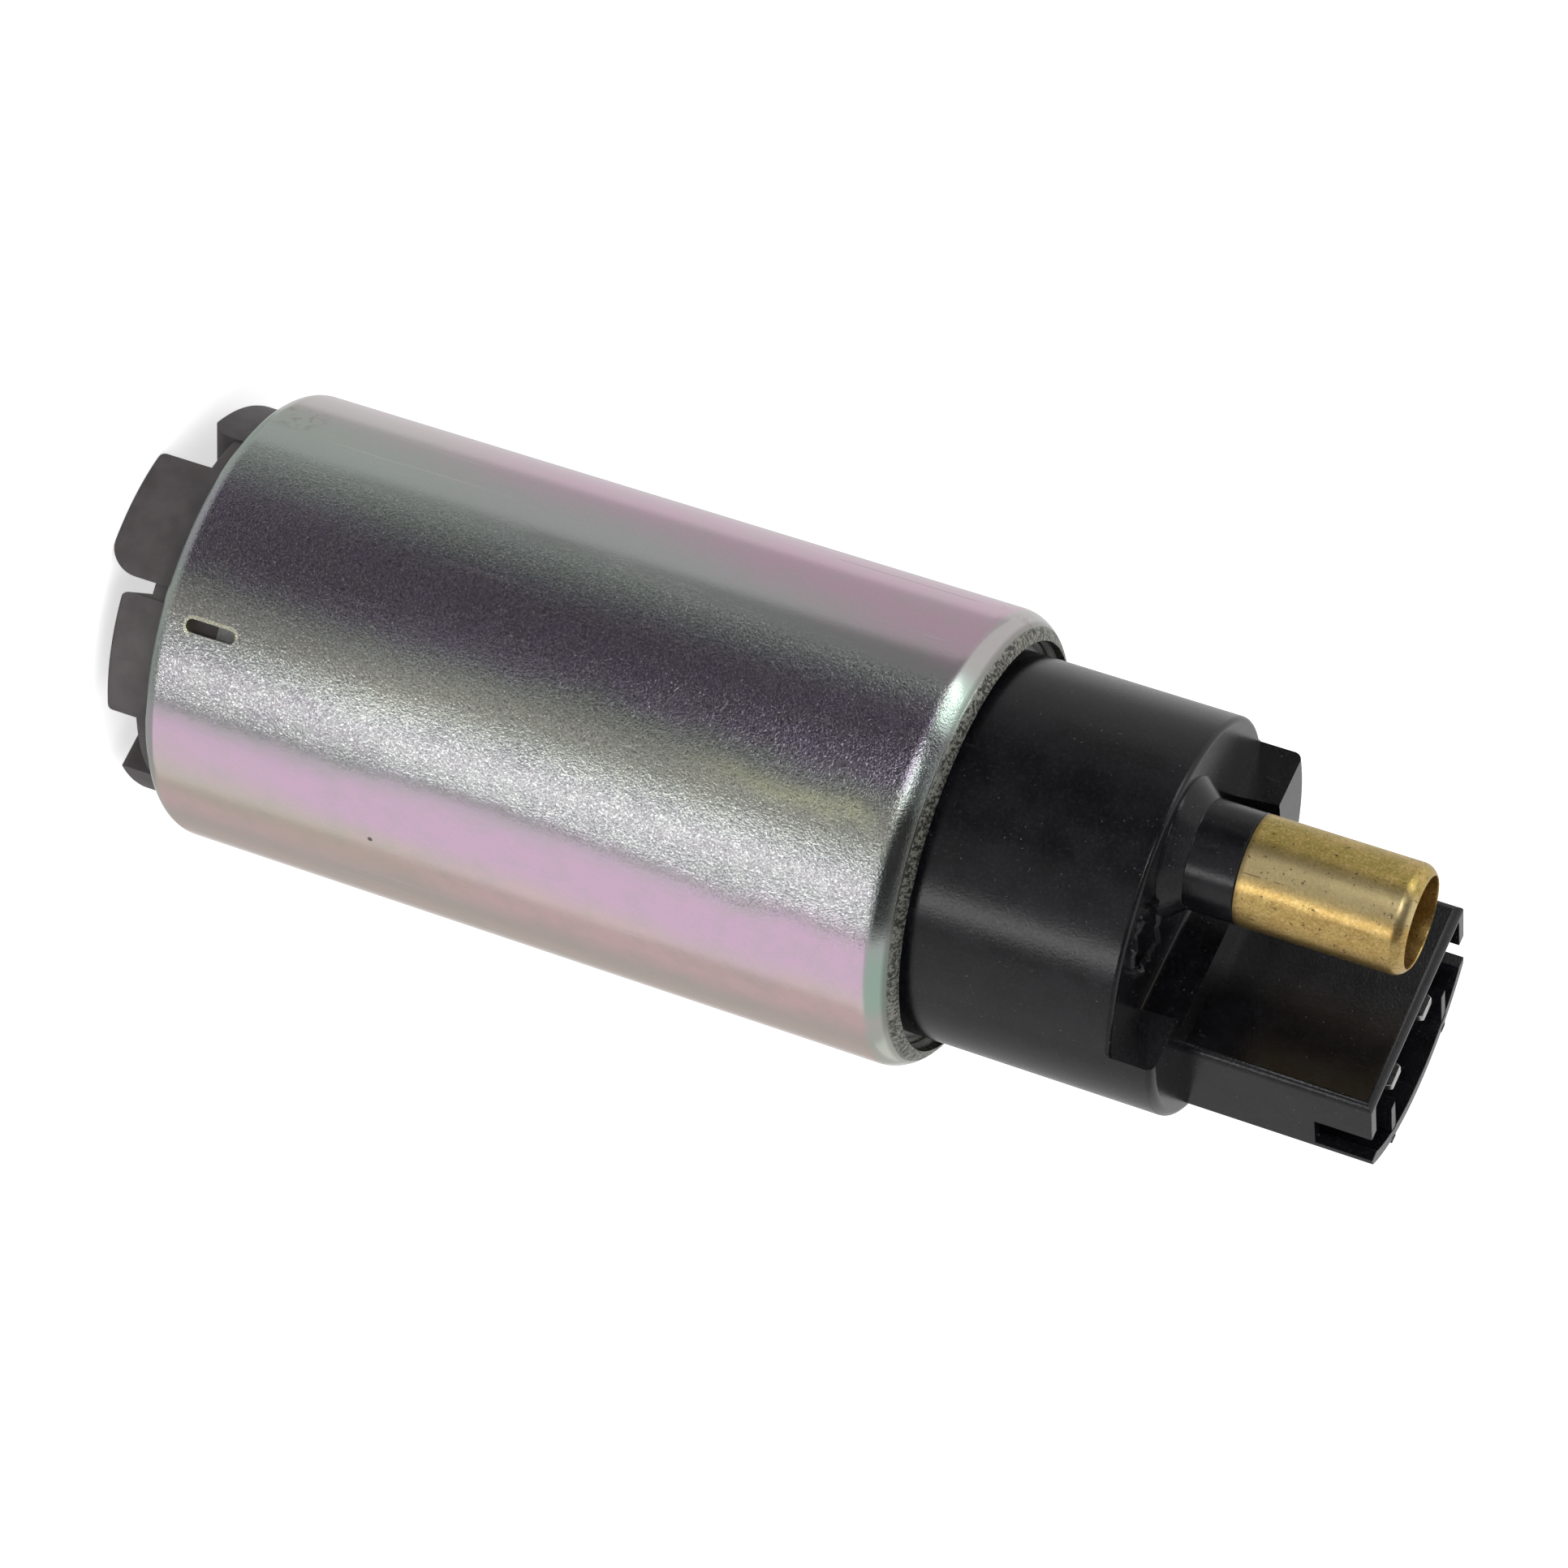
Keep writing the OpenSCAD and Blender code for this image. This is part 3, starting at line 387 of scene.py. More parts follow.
class Finish:
    """A material with one Principled shader."""

    def __init__(self, name, colour, roughness, metallic=0.0, **constants):
        self.material = bpy.data.materials.new(name)
        self.material.use_nodes = True
        self.tree = self.material.node_tree
        self.shader = self.tree.nodes["Principled BSDF"]
        self.shader.inputs["Base Color"].default_value = (*colour, 1)
        self.shader.inputs["Roughness"].default_value = roughness
        self.shader.inputs["Metallic"].default_value = metallic
        for key, value in constants.items():
            self.shader.inputs[key.replace("_", " ")].default_value = value
        coords = self.tree.nodes.new("ShaderNodeTexCoord")
        self.place = Sock(self.tree, coords.outputs["Object"])

    def mm(self):
        """Object coordinates in millimetres."""
        inputs = {0: self.place, "Scale": 1 / MM}
        return self.place.node("ShaderNodeVectorMath", inputs, operation="SCALE")

    def set(self, name, sock):
        self.tree.links.new(sock.out, self.shader.inputs[name])

    def bump(self, height, distance, strength=1.0):
        inputs = {"Height": height, "Distance": distance * MM, "Strength": strength}
        self.set("Normal", self.place.node("ShaderNodeBump", inputs))


def plated_steel():
    f = Finish("plated_steel", (0.6, 0.57, 0.58), 0.26, 1.0)
    p = f.mm()
    x, y, z = p.split()
    azimuth = (y * -1.0).maths("ARCTAN2", x * -1.0) * (180 / math.pi) + 180
    radius = (x * x + y * y) ** 0.5
    drift = p.noise(0.045, 2.0) * 8 - 4 + (p.noise(0.25, 3.0, 0.6) * 6 - 3)
    turn = azimuth + drift
    spread = (z - 38).maths("MAXIMUM", 0.0) * 0.5
    violet, olive, lilac = (0.56, 0.48, 0.62), (0.6, 0.6, 0.53), (0.82, 0.58, 0.76)
    tint = (turn - spread).above(50, 72).mix((0.7, 0.49, 0.59), (0.57, 0.58, 0.58))
    tint = (turn - spread).above(68, 86).mix(tint, (0.52, 0.58, 0.55))
    tint = turn.between(92, 116, 6).mix(tint, violet)
    tint = turn.between(118, 131, 6).mix(tint, olive)
    # partly a grey film, partly painted shade: set darker where the key lamp reflects, which tones the
    # highlight down
    tint = turn.between(133, 146, 4).mix(tint, (0.36, 0.355, 0.365))
    tint = turn.between(150, 170, 7).mix(tint, lilac)
    tint = turn.between(170, 186, 8).mix(tint, (0.96, 0.68, 0.68))
    tint = turn.above(178, 196).mix(tint, (0.8, 0.62, 0.54))
    tint = turn.above(290, 330).mix(tint, (0.62, 0.58, 0.6))
    tint = (1 - turn.above(30, 42)).mix(tint, (0.62, 0.58, 0.6))
    green = (turn - z * 0.4).between(158, 172, 9) * (1 - z.above(20, 44))
    tint = (green * 0.45).mix(tint, (0.62, 0.66, 0.45))
    tint = (turn.between(40, 78, 10) * (1 - z.above(14, 34)) * 0.5).mix(tint, (0.55, 0.66, 0.55))
    # painted shade: the band from 108 to 150 degrees round the axis is darkened towards the inlet end
    tint = (turn.between(108, 150, 8) * (1 - z.above(14, 34)) * 0.3).mix(tint, (0.2, 0.18, 0.2))
    # painted highlight: a pale yellow-green streak at 121 to 125 degrees near the outlet end
    painted_highlight_streak = turn.between(121, 125, 3) * z.above(50, 62) * (1 - z.above(67, 70))
    tint = (painted_highlight_streak * 0.8).mix(tint, (0.95, 0.98, 0.66))
    clouds = p.noise(0.4, 3.0, 0.6)
    tint = (clouds.above(0.4, 0.75) * 0.2).mix(tint, (0.52, 0.58, 0.5))

    # Grit and glint zone round the dark and lit bands: bumpy grain, and in the colour painted glints as
    # bright and dark flecks, with paler fibres that lie every way
    grit_and_glint_zone = (turn - spread * 0.3).between(80, 148, 4)
    grain = p.noise(5.2, 2.0, 0.75)
    coarse = p.noise(1.5, 3.0, 0.7)
    fibre = p.noise(3.0, 2.0, 0.6, stretch=(1, 1, 0.3)).above(0.56, 0.68)
    bright = grain.above(0.54, 0.7) * (0.05 + grit_and_glint_zone * 0.45)
    dark = (1 - grain.above(0.32, 0.47)) * (0.03 + grit_and_glint_zone * 0.4)
    tint = bright.mix(tint, (0.95, 0.95, 0.95))
    tint = dark.mix(tint, (0.16, 0.14, 0.19))
    tint = (fibre * grit_and_glint_zone * 0.1).mix(tint, (0.9, 0.9, 0.88))
    bent = z.above(ROLL_Z + 0.2, ROLL_Z + 1.0) + (1 - z.above(CASE_BOTTOM + 0.6, CASE_BOTTOM + 1.6))
    tint = (bent * 0.6).mix(tint, (0.6, 0.72, 0.64))
    # Top of the outlet roll, painted reflections by direction round the axis: a dark patch at 117 to
    # 149 degrees, a grey one at 97 to 104, pinkish below 80, pale mint highlights at 82 to 96 and mint
    # at 154 to 174; then a darker band just under the lip
    top = z.above(ROLL_Z + 0.4, ROLL_Z + 1.0)
    tint = (top * azimuth.between(117, 149, 5) * 0.8).mix(tint, (0.1, 0.09, 0.1))
    tint = (top * azimuth.between(97, 104, 3) * 0.5).mix(tint, (0.2, 0.2, 0.2))
    tint = (top * (1 - azimuth.above(76, 86)) * 0.4).mix(tint, (0.5, 0.42, 0.42))
    tint = (top * azimuth.between(154, 174, 5) * 0.6).mix(tint, (0.48, 0.78, 0.6))
    tint = (top * azimuth.between(82, 96, 4) * 0.6).mix(tint, (0.72, 0.95, 0.8))
    tint = (z.above(ROLL_Z + 1.7, ROLL_Z + 2.05) * 0.6).mix(tint, (0.22, 0.23, 0.2))

    # Hairline, stains and a pit
    mm_each_degree = CASE_R * math.pi / 180
    hair = ((azimuth - 47.3) * mm_each_degree).between(-0.07, 0.07, 0.05) * z.between(55.5, 67.5, 0.4)
    tint = (hair * 0.6).mix(tint, (0.2, 0.05, 0.06))
    stain = p.noise(0.9, 4.0, 0.7).above(0.48, 0.62)
    by_inlet = azimuth.between(57, 67, 3) * z.between(7.6, 11.5, 1)
    by_outlet = azimuth.between(40, 47, 3) * z.above(67, 69)
    stain = stain * (by_inlet + by_outlet)
    tint = (stain * 0.3).mix(tint, (0.24, 0.13, 0.1))
    aside, higher = (azimuth - 169.7) * mm_each_degree, z - 27.3
    pit = 1 - (aside * aside + higher * higher).above(0.02, 0.07)
    tint = (pit * 0.85).mix(tint, (0.08, 0.05, 0.05))

    # Bright edge where the slot was pierced
    across = (azimuth - SLOT_AZ) * mm_each_degree
    along = z - COVER_TOP
    past_end = (along.maths("ABSOLUTE") - 1.6).maths("MAXIMUM", 0.0)
    from_slot = (past_end * past_end + across * across) ** 0.5
    shown = (1 - across.above(-0.2, 0.2)).maths("MAXIMUM", 1 - along.above(-2.2, -1.5))
    rim = from_slot.between(0.4, 0.86, 0.06) * shown
    tint = (rim * 0.85).mix(tint, (0.98, 0.96, 0.74))

    # The edge turned in over the head is rough, with short cross marks
    lip = z.above(ROLL_Z + 2.1, ROLL_Z + 2.3) * (1 - radius.above(18.22, 18.34))
    marks = p.noise(3.2, 3.0, 0.75, stretch=(1, 1, 0.5))
    ticks = marks.above(0.44, 0.56)
    tint = (lip * 0.9).mix(tint, ticks.mix((0.05, 0.048, 0.042), (0.4, 0.4, 0.35)))
    scratch = p.noise(1.1, 3.0, 0.7, stretch=(1, 1, 0.04)).above(0.665, 0.7)
    tint = (scratch * 0.2).mix(tint, (0.85, 0.83, 0.84))
    f.set("Base Color", tint)
    f.set("Roughness", 0.17 + grit_and_glint_zone * 0.04 + lip * 0.25)
    height = grain * (0.15 + grit_and_glint_zone) + coarse * (0.1 + grit_and_glint_zone * 0.35) + lip * marks * 5.0
    f.bump(height, 0.05, 0.7)
    return f.material


def black_moulding():
    f = Finish("black_moulding", (0.004, 0.0042, 0.005), 0.24, Specular_IOR_Level=0.42)
    p = f.mm()
    grain = p.noise(5.0, 3.0, 0.65)
    cloud = p.noise(0.35, 3.0, 0.6)
    tint = cloud.above(0.35, 0.7).mix((0.003, 0.0034, 0.0042), (0.007, 0.0066, 0.0085))
    scuff = p.noise(1.6, 4.0, 0.7, stretch=(1, 1, 0.15)).above(0.64, 0.72)
    tint = (scuff * 0.3).mix(tint, (0.04, 0.037, 0.04))
    tint = (p.noise(3.8, 3.0, 0.7).above(0.48, 0.68) * 0.6).mix(tint, (0.016, 0.0155, 0.018))
    dust = p.noise(2.9, 3.0, 0.6).above(0.7, 0.725)
    tint = (dust * 0.4).mix(tint, (0.2, 0.2, 0.2))
    f.set("Base Color", tint)
    f.set("Roughness", 0.09 + grain * 0.16 + cloud * 0.1 + dust * 0.2)
    f.bump(grain, 0.035, 0.45)
    return f.material


def dark_moulding():
    f = Finish("dark_moulding", (0.085, 0.078, 0.075), 0.55, Specular_IOR_Level=0.5)
    p = f.mm()
    grain = p.noise(3.5, 3.0, 0.6)
    cloud = p.noise(0.5, 3.0, 0.6)
    f.set("Base Color", cloud.above(0.3, 0.7).mix((0.075, 0.066, 0.068), (0.1, 0.088, 0.09)))
    f.set("Roughness", 0.46 + grain * 0.16)
    f.bump(grain, 0.03, 0.3)
    return f.material


def brass():
    f = Finish("brass", (0.62, 0.43, 0.17), 0.36, 1.0)
    p = f.mm()
    x, y, z = p.split()
    azimuth = (y - OUTLET_Y).maths("ARCTAN2", x) * (180 / math.pi)
    drawn = p.noise(3.0, 3.0, 0.65, stretch=(1, 1, 0.1))
    cloud = p.noise(0.5, 4.0, 0.65)
    fine = p.noise(4.5, 3.0, 0.7)
    tint = cloud.above(0.35, 0.65).mix((0.68, 0.48, 0.17), (0.58, 0.38, 0.13))
    tint = (azimuth.between(35, 96, 16) * cloud.above(0.3, 0.6) * 0.7).mix(tint, (0.46, 0.38, 0.09))
    tint = (fine.above(0.5, 0.68) * 0.65).mix(tint, (0.88, 0.68, 0.36))
    tint = ((1 - fine.above(0.34, 0.48)) * 0.45).mix(tint, (0.32, 0.21, 0.06))
    tint = (drawn.above(0.56, 0.7) * 0.35).mix(tint, (0.4, 0.29, 0.12))
    # painted light: the side at 98 to 130 degrees is made paler and brighter
    tint = (azimuth.between(98, 130, 8) * 0.5).mix(tint, (1.0, 0.86, 0.5))
    # painted shade: darker at 174 to 196 degrees, where the socket's black face stands close
    tint = (azimuth.above(174, 196) * 0.5).mix(tint, (0.3, 0.2, 0.08))
    blot = p.noise(0.9, 4.0, 0.75).above(0.62, 0.66) * fine.above(0.35, 0.6)
    dots = (p.noise(2.4, 3.0, 0.6).above(0.655, 0.69) + blot).maths("MINIMUM", 1.0)
    tint = (dots * 0.75).mix(tint, (0.1, 0.06, 0.03))
    broken = p.noise(1.2, 2.0).above(0.35, 0.5)
    line = azimuth.between(126.5, 127.3, 0.5) * z.between(SLEEVE_Z + 0.3, SLEEVE_Z + 4, 0.4) * broken
    tint = (line * 0.85).mix(tint, (0.08, 0.05, 0.03))
    tint = ((1 - z.above(SLEEVE_Z + 0.15, SLEEVE_Z + 0.5)) * 0.6).mix(tint, (0.25, 0.17, 0.07))
    f.set("Base Color", tint)
    f.set("Roughness", 0.26 + drawn * 0.1 + dots * 0.2 + fine * 0.08)
    f.bump(drawn * 0.6 + fine - dots, 0.014, 0.5)
    return f.material


def plain(name, colour, roughness, metallic=0.0, grain=3.0, depth=0.01, **more):
    f = Finish(name, colour, roughness, metallic, **more)
    p = f.mm()
    n = p.noise(grain, 3.0, 0.55)
    darker = tuple(c * 0.82 for c in colour)
    f.set("Base Color", n.above(0.35, 0.65).mix(darker, colour))
    f.set("Roughness", roughness - 0.05 + n * 0.1)
    f.bump(n, depth, 0.4)
    return f.material


FINISHES = {
    "plated_steel": plated_steel(),
    "black_moulding": black_moulding(),
    "dark_moulding": dark_moulding(),
    "brass": brass(),
    "brown_moulding": plain("brown_moulding", (0.09, 0.06, 0.04), 0.5),
    "pale_moulding": plain("pale_moulding", (0.7, 0.68, 0.62), 0.45),
    "bronze": plain("bronze", (0.5, 0.34, 0.17), 0.45, 1.0, grain=6.0),
    "tinned": plain("tinned", (0.68, 0.68, 0.66), 0.3, 1.0),
    "bright_steel": plain("bright_steel", (0.66, 0.67, 0.68), 0.25, 1.0),
    "lamination": plain("lamination", (0.22, 0.23, 0.24), 0.45, 1.0),
    "copper": plain("copper", (0.62, 0.27, 0.13), 0.35, 1.0),
    "insulator": plain("insulator", (0.6, 0.52, 0.33), 0.6),
    "ferrite": plain("ferrite", (0.05, 0.05, 0.055), 0.6),
    "carbon": plain("carbon", (0.035, 0.035, 0.035), 0.5),
    "cast_alloy": plain("cast_alloy", (0.45, 0.45, 0.46), 0.45, 1.0),
    "ceramic": plain("ceramic", (0.8, 0.79, 0.76), 0.25),
    "seal": plain("seal", (0.02, 0.02, 0.02), 0.5),
}

for part in frame["record"]["subparts"]:
    node = frame["nodes"][part["node"]]
    node.data.materials.clear()
    node.data.materials.append(FINISHES[part["material_slot"]])


# Casing: drawn tube, both ends rolled in, with the keying slot
inner_roll = ROLL_R - CASE_WALL
lip_out = math.degrees(math.acos((LIP_R - ROLL_MID) / ROLL_R))
lip_in = math.degrees(math.acos((LIP_R - ROLL_MID) / inner_roll))
inlet_lip = 16.7
outline = arc(inlet_lip + 0.25, CASE_BOTTOM + 0.25, 0.25, 180, 270, 3)
outline += arc(CASE_R - 1.5, CASE_BOTTOM + 1.5, 1.5, -90, 0, 10)
outline += [(CASE_R, CASE_BOTTOM + 4)]
outline += arc(ROLL_MID, ROLL_Z, ROLL_R, 0, lip_out - 3, 22)
outline += arc(ROLL_MID, ROLL_Z, inner_roll, lip_in, 0, 8)
outline += [(CASE_IN, SHOULDER_Z), (inlet_lip, SHOULDER_Z)]
casing = turned("casing_shell", outline, 256)
key = block("key", (-2.2, -0.55, -2), (2.2, 0.55, 2))
key = round_edges(key, upright(), 0.5, 6)
pick(key)
key.data.transform(
    Matrix.Rotation(math.radians(SLOT_AZ), 4, "Z")
    @ Matrix.Translation((CASE_R * MM, 0, COVER_TOP * MM))
    @ Matrix.Rotation(math.radians(90), 4, "Y")
)
cut(casing, key)
smooth(casing, 40)
finish_piece(casing, FINISHES["plated_steel"], "housing", "plated_steel", "casing")

# Brass sleeve with its end rounded in
bend = 1.35
mouth = 62.0
wall = 0.79
outline = [(OUTLET_R - wall, SLEEVE_Z), (OUTLET_R - 0.08, SLEEVE_Z), (OUTLET_R, SLEEVE_Z + 0.08)]
outline += arc(OUTLET_R - bend, OUTLET_Z - bend, bend, 0, mouth, 10)
outline += [(OUTLET_R - wall, OUTLET_Z - bend + bend * math.sin(math.radians(mouth)) - 0.12)]
sleeve = turned("brass_sleeve", outline, 128, centre=(0, OUTLET_Y))
smooth(sleeve, 50)
finish_piece(sleeve, FINISHES["brass"], "housing", "brass", "outlet_sleeve")

# End head: one turned body, the ledge cut down on the outlet side
ROOF_Z = LEDGE_Z - 22.9
shoulder_r = CASE_IN - 0.05
shoulder_round = inner_roll - 0.05
step_round = 0.7
outline = [(0, STEP_Z), (HEAD_R - step_round, STEP_Z)]
outline += arc(HEAD_R - step_round, STEP_Z - step_round, step_round, 90, 0, 6)
outline += [(HEAD_R, LEDGE_Z), (HEAD_R, ROLL_Z + shoulder_round), (ROLL_MID, ROLL_Z + shoulder_round)]
outline += arc(ROLL_MID, ROLL_Z, shoulder_round, 90, 0, 6)[1:]
outline += [(shoulder_r, ROOF_Z + 2.6), (shoulder_r - 1.45, ROOF_Z + 2.6)]
outline += [(shoulder_r - 1.45, ROOF_Z + 1), (shoulder_r, ROOF_Z + 1)]
outline += [(shoulder_r, SKIRT_Z), (shoulder_r - 3, SKIRT_Z), (shoulder_r - 3, ROOF_Z), (0, ROOF_Z)]
head = turned("head_moulding", outline, 160)
side_x, side_y, step_y, far = 10.6, 2, 0.15, 20
room = [(-far, far), (-far, side_y), (-side_x, side_y), (-side_x, step_y)]
room += [(-x, y) for x, y in reversed(room)]
room = prism("ledge_room", room, LEDGE_Z, STEP_Z + 4)
room = round_edges(room, upright(lambda p: near(abs(p.x), side_x)), 0.4, 3)
cut(head, room)
plain_faces(head)
rim_r = 15.8
ledge_rim = level(LEDGE_Z, lambda a, b: radius_of(a) > rim_r and radius_of(b) > rim_r)
round_edges(head, ledge_rim, 0.42, 4)
top_r = 15.25
step_front = level(STEP_Z, lambda a, b: a.y > 0 and b.y > 0 and radius_of(a) < top_r)
round_edges(head, step_front, 0.28, 3)

# Socket: straight walls with an arched back
wide = math.degrees(math.acos(HALF_W / SOCKET_R))
outline = [(HALF_W, FLAT_Y)] + arc(0, 0, SOCKET_R, -wide, -180 + wide, 40) + [(-HALF_W, FLAT_Y)]
socket = prism("socket", outline, STEP_Z - 1, SOCKET_Z)
socket = round_edges(socket, upright(lambda p: near(p.y, FLAT_Y)), 0.7, 5)
socket = round_edges(socket, upright(lambda p: near(abs(p.x), HALF_W) and p.y < FLAT_Y - 2), 0.3, 3)
add(head, socket)
plain_faces(head)
foot_r = 15.38


def by_socket(a, b):
    near_back = radius_of(a) < foot_r and radius_of(b) < foot_r
    return a.y < -3 and b.y < -3 and near_back and abs(a.x) < side_x


round_edges(head, level(STEP_Z, by_socket), 0.35, 3)
inner = 14.25
half = HALF_W - 1
wide = math.degrees(math.acos(half / inner))
outline = [(half, FLAT_Y - 1)] + arc(0, 0, inner, -wide, -180 + wide, 40) + [(-half, FLAT_Y - 1)]
cavity = prism("cavity", outline, SOCKET_Z - 14.5, SOCKET_Z + 2)
cavity = round_edges(cavity, upright(lambda p: near(abs(p.x), half)), 0.25, 2)
notch_y = FLAT_Y - 4.55
notch = block("notch", (-20, notch_y - 3.2, SOCKET_Z - 4.8), (20, notch_y, SOCKET_Z + 2))
cut(head, cavity, notch)
for s in (-1, 1):
    rib = block("rib", (s * 5.5 - 0.4, -14.8, SOCKET_Z - 15), (s * 5.5 + 0.4, -9.6, SOCKET_Z))
    add(head, rib)
plain_faces(head)
round_edges(head, level(SOCKET_Z), 0.14, 2)

# Neck of the outlet with its collar, stepped for the sleeve
bore_r, in_sleeve, neck_top = 2.7, 3.7, OUTLET_Z - 5
outline = [(bore_r, LEDGE_Z - 1), (bore_r, neck_top), (3.4, neck_top), (in_sleeve, neck_top - 0.3)]
outline += [(in_sleeve, SLEEVE_Z), (OUTLET_R - 0.12, SLEEVE_Z), (OUTLET_R, SLEEVE_Z - 0.12)]
outline += [(OUTLET_R, LEDGE_Z + 1.75), (OUTLET_R + 0.06, LEDGE_Z + 1.65), (5.75, LEDGE_Z + 0.25)]
outline += [(5.8, LEDGE_Z), (5.8, LEDGE_Z - 1)]
neck = turned("neck", outline, 96, centre=(0, OUTLET_Y))
add(head, neck)

# Rim worked over the relief valve
outline = [(2.55, LEDGE_Z - 0.5), (3.25, LEDGE_Z - 0.5), (3.2, LEDGE_Z + 0.2), (3.0, LEDGE_Z + 0.42)]
outline += [(2.7, LEDGE_Z + 0.38), (2.5, LEDGE_Z + 0.1)]
rim = turned("worked_rim", outline, 48, centre=RELIEF)
for v in rim.data.vertices:
    a = math.atan2(v.co.y / MM - RELIEF[1], v.co.x / MM - RELIEF[0])
    if v.co.z / MM > LEDGE_Z + 0.05:
        rough = 0.12 * math.sin(5 * a + 0.7) + 0.1 * math.sin(11 * a) + 0.06 * math.sin(23 * a)
        v.co.z += rough * MM
        v.co.x += 0.6 * rough * math.cos(a) * MM
        v.co.y += 0.6 * rough * math.sin(a) * MM
add(head, rim)

# Rooms inside the head
w, d = 2.1, 2.6
wall = 1.0
choke_x, choke_y = 8.6, -8.2
for s in (-1, 1):
    low = (s * BRUSH_X - w - wall, -d - wall, ROOF_Z - 2.2)
    add(head, block("boss", low, (s * BRUSH_X + w + wall, d + wall, ROOF_Z + 0.5)))
add(head, rod("boss", 4.5, 0, 0, ROOF_Z - 2.2, ROOF_Z + 0.5))
cut(head, rod("bore", 3.5, 0, 0, ROOF_Z - 3, ROOF_Z + 4.6))
for s in (-1, 1):
    cut(head, block("tunnel", (s * BRUSH_X - w, -d, ROOF_Z - 3), (s * BRUSH_X + w, d, ROOF_Z + 16.45)))
    cut(head, rod("room", 2.5, s * choke_x, choke_y, ROOF_Z - 1, LEDGE_Z - 2.5))
    cut(head, block("slot", (s * 7.4 - 1.1, choke_y, ROOF_Z - 1), (s * 7.4 + 1.1, -1.5, ROOF_Z + 9.25)))
cut(head, rod("bore", 3.3, 0, OUTLET_Y, ROOF_Z - 1, LEDGE_Z + 0.55))
cut(head, rod("bore", 1.4, *RELIEF, ROOF_Z - 1, LEDGE_Z))
cut(head, rod("bore", 2.4, *RELIEF, ROOF_Z + 13.5, LEDGE_Z + 1))
smooth(head, 34)
finish_piece(head, FINISHES["black_moulding"], "housing", "black_moulding", "end_head")

# Blades in the socket
for side in ("positive", "negative"):
    blade = copy_of("terminal_" + side, "blade_" + side)
    plain_faces(blade)
    soften(blade, 0.1, 2)
    smooth(blade)
    finish_piece(blade, FINISHES["tinned"], "housing", "tinned", "terminal_" + side)

# Inlet cover with its feet
FOOT_R = 16.6
FOOT_IN = 12.5
BOSS_R = 16.4
pad_z = SHOULDER_Z + 0.4
outline = [(0, pad_z), (2.6, pad_z), (2.6, COVER_TOP), (shoulder_r, COVER_TOP)]
outline += [(shoulder_r, SHOULDER_Z), (BOSS_R, SHOULDER_Z)]
outline += arc(BOSS_R - 0.35, COVER_Z + 0.35, 0.35, 0, -90, 4)
outline += [(4.4, COVER_Z), (4.3, COVER_Z - 1), (0, COVER_Z - 1)]
cover = turned("cover_moulding", outline, 160)


def foot(start, end, height, corners):
    """A foot cut to shape in its developed outline: each end has its own corner radius."""
    low = COVER_Z - height
    outline = [(FOOT_IN, SHOULDER_Z + 0.5), (FOOT_IN, low)]
    outline += arc(FOOT_R - 0.35, low + 0.35, 0.35, -90, 0, 3) + [(FOOT_R, SHOULDER_Z + 0.5)]
    o = turned("foot", outline, int((end - start) / 1.2), start=start, turn=end - start)
    for side, angle, r in ((-1, start, corners[0]), (1, end, corners[1])):
        shape = [(side * 2, low - 2), (side * 2, low + r), (0, low + r)]
        shape += arc(-side * r, low + r, r, 0 if side > 0 else 180, -90 if side > 0 else 270, 10)[1:]
        shape += [(-side * r, low - 2)]
        tool = prism("corner", shape, FOOT_IN - 1, FOOT_R + 1)
        around = Matrix.Rotation(math.radians(angle), 4, "Z")
        facing_out = Matrix(((0, 0, 1, 0), (1, 0, 0, 0), (0, 1, 0, 0), (0, 0, 0, 1)))
        tool.data.transform(around @ facing_out)
        cut(o, tool)
    return o


for start, end, height, corners in (
    (8, 69, 2.5, (0.6, 2.4)),
    (83, 121, 4.5, (0.7, 2.8)),
    (125.5, 162, 2.5, (0.8, 0.6)),
    (187, 226, 2.5, (0.7, 1.2)),
    (234, 264, 4.5, (0.7, 0.7)),
    (306, 348, 4.5, (0.7, 0.7)),
):
    add(cover, foot(start, end, height, corners))
inlet_at = (8 * math.cos(math.radians(285)), 8 * math.sin(math.radians(285)))
add(cover, rod("spigot", 4.6, *inlet_at, COVER_Z - 2.2, COVER_Z + 1, 64))
cut(cover, rod("bore", 3.2, *inlet_at, COVER_Z - 3, COVER_Z + 1.9, 64))
plain_faces(cover)
soften(cover, 0.12, 2, 50)
smooth(cover, 34)
finish_piece(cover, FINISHES["dark_moulding"], "housing", "dark_moulding", "inlet_cover")

# Springs and pigtails, copied from their own meshes; the springs go with the housing
for name, joint, keep, x, y, top in (
    ("check_spring", "check_valve_lift", 0.671, 0, OUTLET_Y, 88.35),
    ("relief_spring", "relief_valve_lift", 0.657, *RELIEF, 86.8),
    ("brush_spring_a", "brush_a_slide", 0.711, BRUSH_X, 0, 83.35),
    ("brush_spring_b", "brush_b_slide", 0.711, -BRUSH_X, 0, 83.35),
):
    spring = copy_of(name, name + "_wire")
    finish_piece(smooth(spring, 60), FINISHES["bright_steel"], "housing", "bright_steel", name)
    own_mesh(spring)
for name, brush in (("pigtail_a", "positive_brush"), ("pigtail_b", "negative_brush")):
    low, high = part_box(name)
    braid = copy_of(name, name + "_braid")
    finish_piece(smooth(braid, 60), FINISHES["copper"], None, "copper", name)
    middle = (low[0] + high[0]) / 2
    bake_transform(braid)

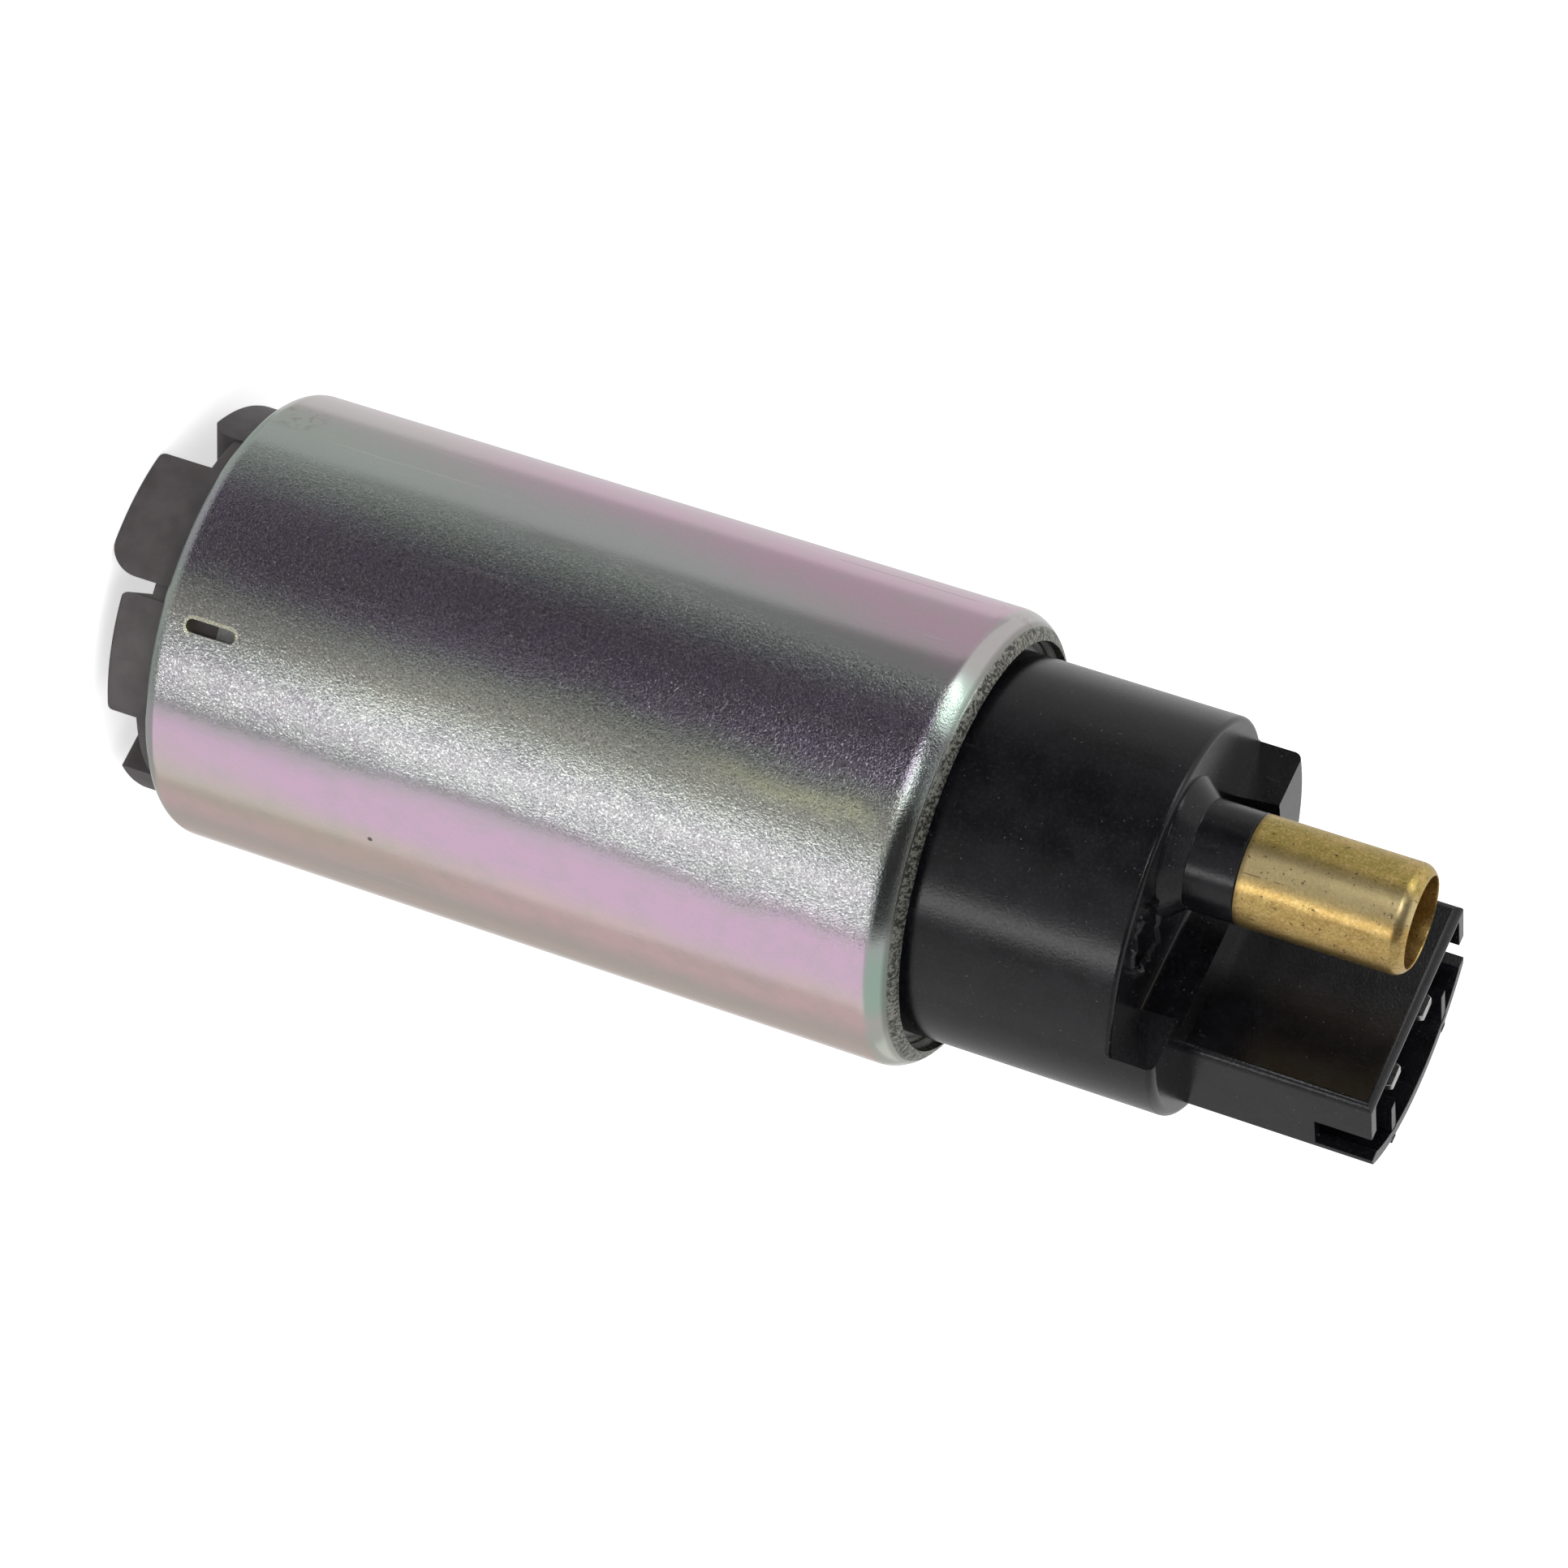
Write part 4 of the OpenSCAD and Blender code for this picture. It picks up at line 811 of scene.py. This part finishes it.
# Camera and light
camera_data = bpy.data.cameras.new("camera")
camera = bpy.data.objects.new("camera", camera_data)
context.scene.collection.objects.link(camera)
context.scene.camera = camera
camera_data.sensor_width = 36.0
camera_data.lens = 132.15
camera_data.clip_end = 50
right = Vector((0.4100341, -0.09705454, 0.90689164))
down = Vector((-0.77528937, -0.5608283, 0.29051336))
forward = Vector((0.48041486, -0.82222383, -0.30520408))
spot = Vector((-222.204, 379.964, 196.016)) * MM
columns = Matrix((right, -down, -forward)).transposed()
camera.matrix_world = Matrix.Translation(spot) @ columns.to_4x4()

world = bpy.data.worlds.new("world")
context.scene.world = world
world.use_nodes = True
tree = world.node_tree
background = tree.nodes["Background"]
path = tree.nodes.new("ShaderNodeLightPath")
seen = Sock(tree, path.outputs["Is Camera Ray"])
brightness = seen.mix((0.72, 0.72, 0.72), (1.0, 1.0, 1.0))
tree.links.new(brightness.out, background.inputs["Color"])
background.inputs["Strength"].default_value = 1.0

clear_selection()
bpy.ops.mesh.primitive_plane_add(size=12, location=(0, 0, 0))
floor = context.object
floor.name = "floor"
paper = Finish("paper", (0.93, 0.93, 0.93), 0.9, Specular_IOR_Level=0.0)
path = paper.tree.nodes.new("ShaderNodeLightPath")
seen = Sock(paper.tree, path.outputs["Is Camera Ray"])
paper.set("Emission Color", seen.mix((0, 0, 0), (0.62, 0.62, 0.62)))
paper.shader.inputs["Emission Strength"].default_value = 1.0
floor.data.materials.append(paper.material)
floor.visible_glossy = False


def seen_in_metal(o, strength):
    """Makes o a lamp that only reflections show."""
    glow = bpy.data.materials.new(o.name)
    glow.use_nodes = True
    nodes = glow.node_tree.nodes
    nodes.clear()
    out = nodes.new("ShaderNodeOutputMaterial")
    lamp = nodes.new("ShaderNodeEmission")
    lamp.inputs["Strength"].default_value = strength
    glow.node_tree.links.new(lamp.outputs[0], out.inputs[0])
    glow.cycles.emission_sampling = "NONE"
    o.data.materials.append(glow)
    o.visible_camera = False
    o.visible_diffuse = False
    o.visible_shadow = False
    o.visible_transmission = False
    return o


def panel(name, first, last, low, high, strength, r=420):
    """A curved panel round the object, between two directions and two heights (degrees)."""
    z0, z1 = [70 + r * math.tan(math.radians(a)) for a in (low, high)]
    outline = [(r, z0), (r, z1), (r + 2, z1), (r + 2, z0)]
    steps = max(4, int((last - first) / 4))
    return seen_in_metal(turned(name, outline, steps, start=first, turn=last - first), strength)


panels = [
    panel("panel_side", -10, 34, -42, 0, 0.5),
    panel("panel_edge", 34, 56, -42, 0, 0.25),
    panel("panel_dark", 56, 116, -42, 0, 0.07),
    panel("panel_half", 116, 144, -42, 0, 0.38),
    panel("panel_near", 144, 155.5, -42, 0, 0.5),
    panel("panel_key", 155.5, 163, -42, 0, 5.6),
    panel("panel_gap", 163, 178, -42, 0, 0.3),
    panel("panel_back", 224, 280, -42, 0, 0.5),
    panel("panel_mint", 48, 62, 0, 38, 2.9),
    panel("panel_high", 64, 176, 0, 65, 0.1),
    panel("panel_spark", 95, 108, 3, 14, 7.0, r=410),
    panel("panel_glow", 108, 124, 3, 14, 1.1, r=410),
    panel("panel_rear", 176, 250, 0, 60, 0.5),
]
clear_selection()
bpy.ops.mesh.primitive_circle_add(vertices=48, radius=0.43, location=(0, 0, -0.31), fill_type="NGON")
context.object.name = "panel_low"
panels.append(seen_in_metal(context.object, 0.42))

lamp_data = bpy.data.lights.new("softbox", "AREA")
lamp_data.shape = "RECTANGLE"
lamp_data.size = 0.5
lamp_data.size_y = 0.5
lamp_data.energy = 2.2
softbox = bpy.data.objects.new("softbox", lamp_data)
context.scene.collection.objects.link(softbox)
softbox.location = (-0.45, 0.25, 0.55)
aim = Vector((0, 0, 0.05)) - softbox.location
softbox.rotation_euler = aim.to_track_quat("-Z", "Y").to_euler()
softbox.visible_glossy = False

scene_view = context.scene.view_settings
scene_view.view_transform = "Standard"
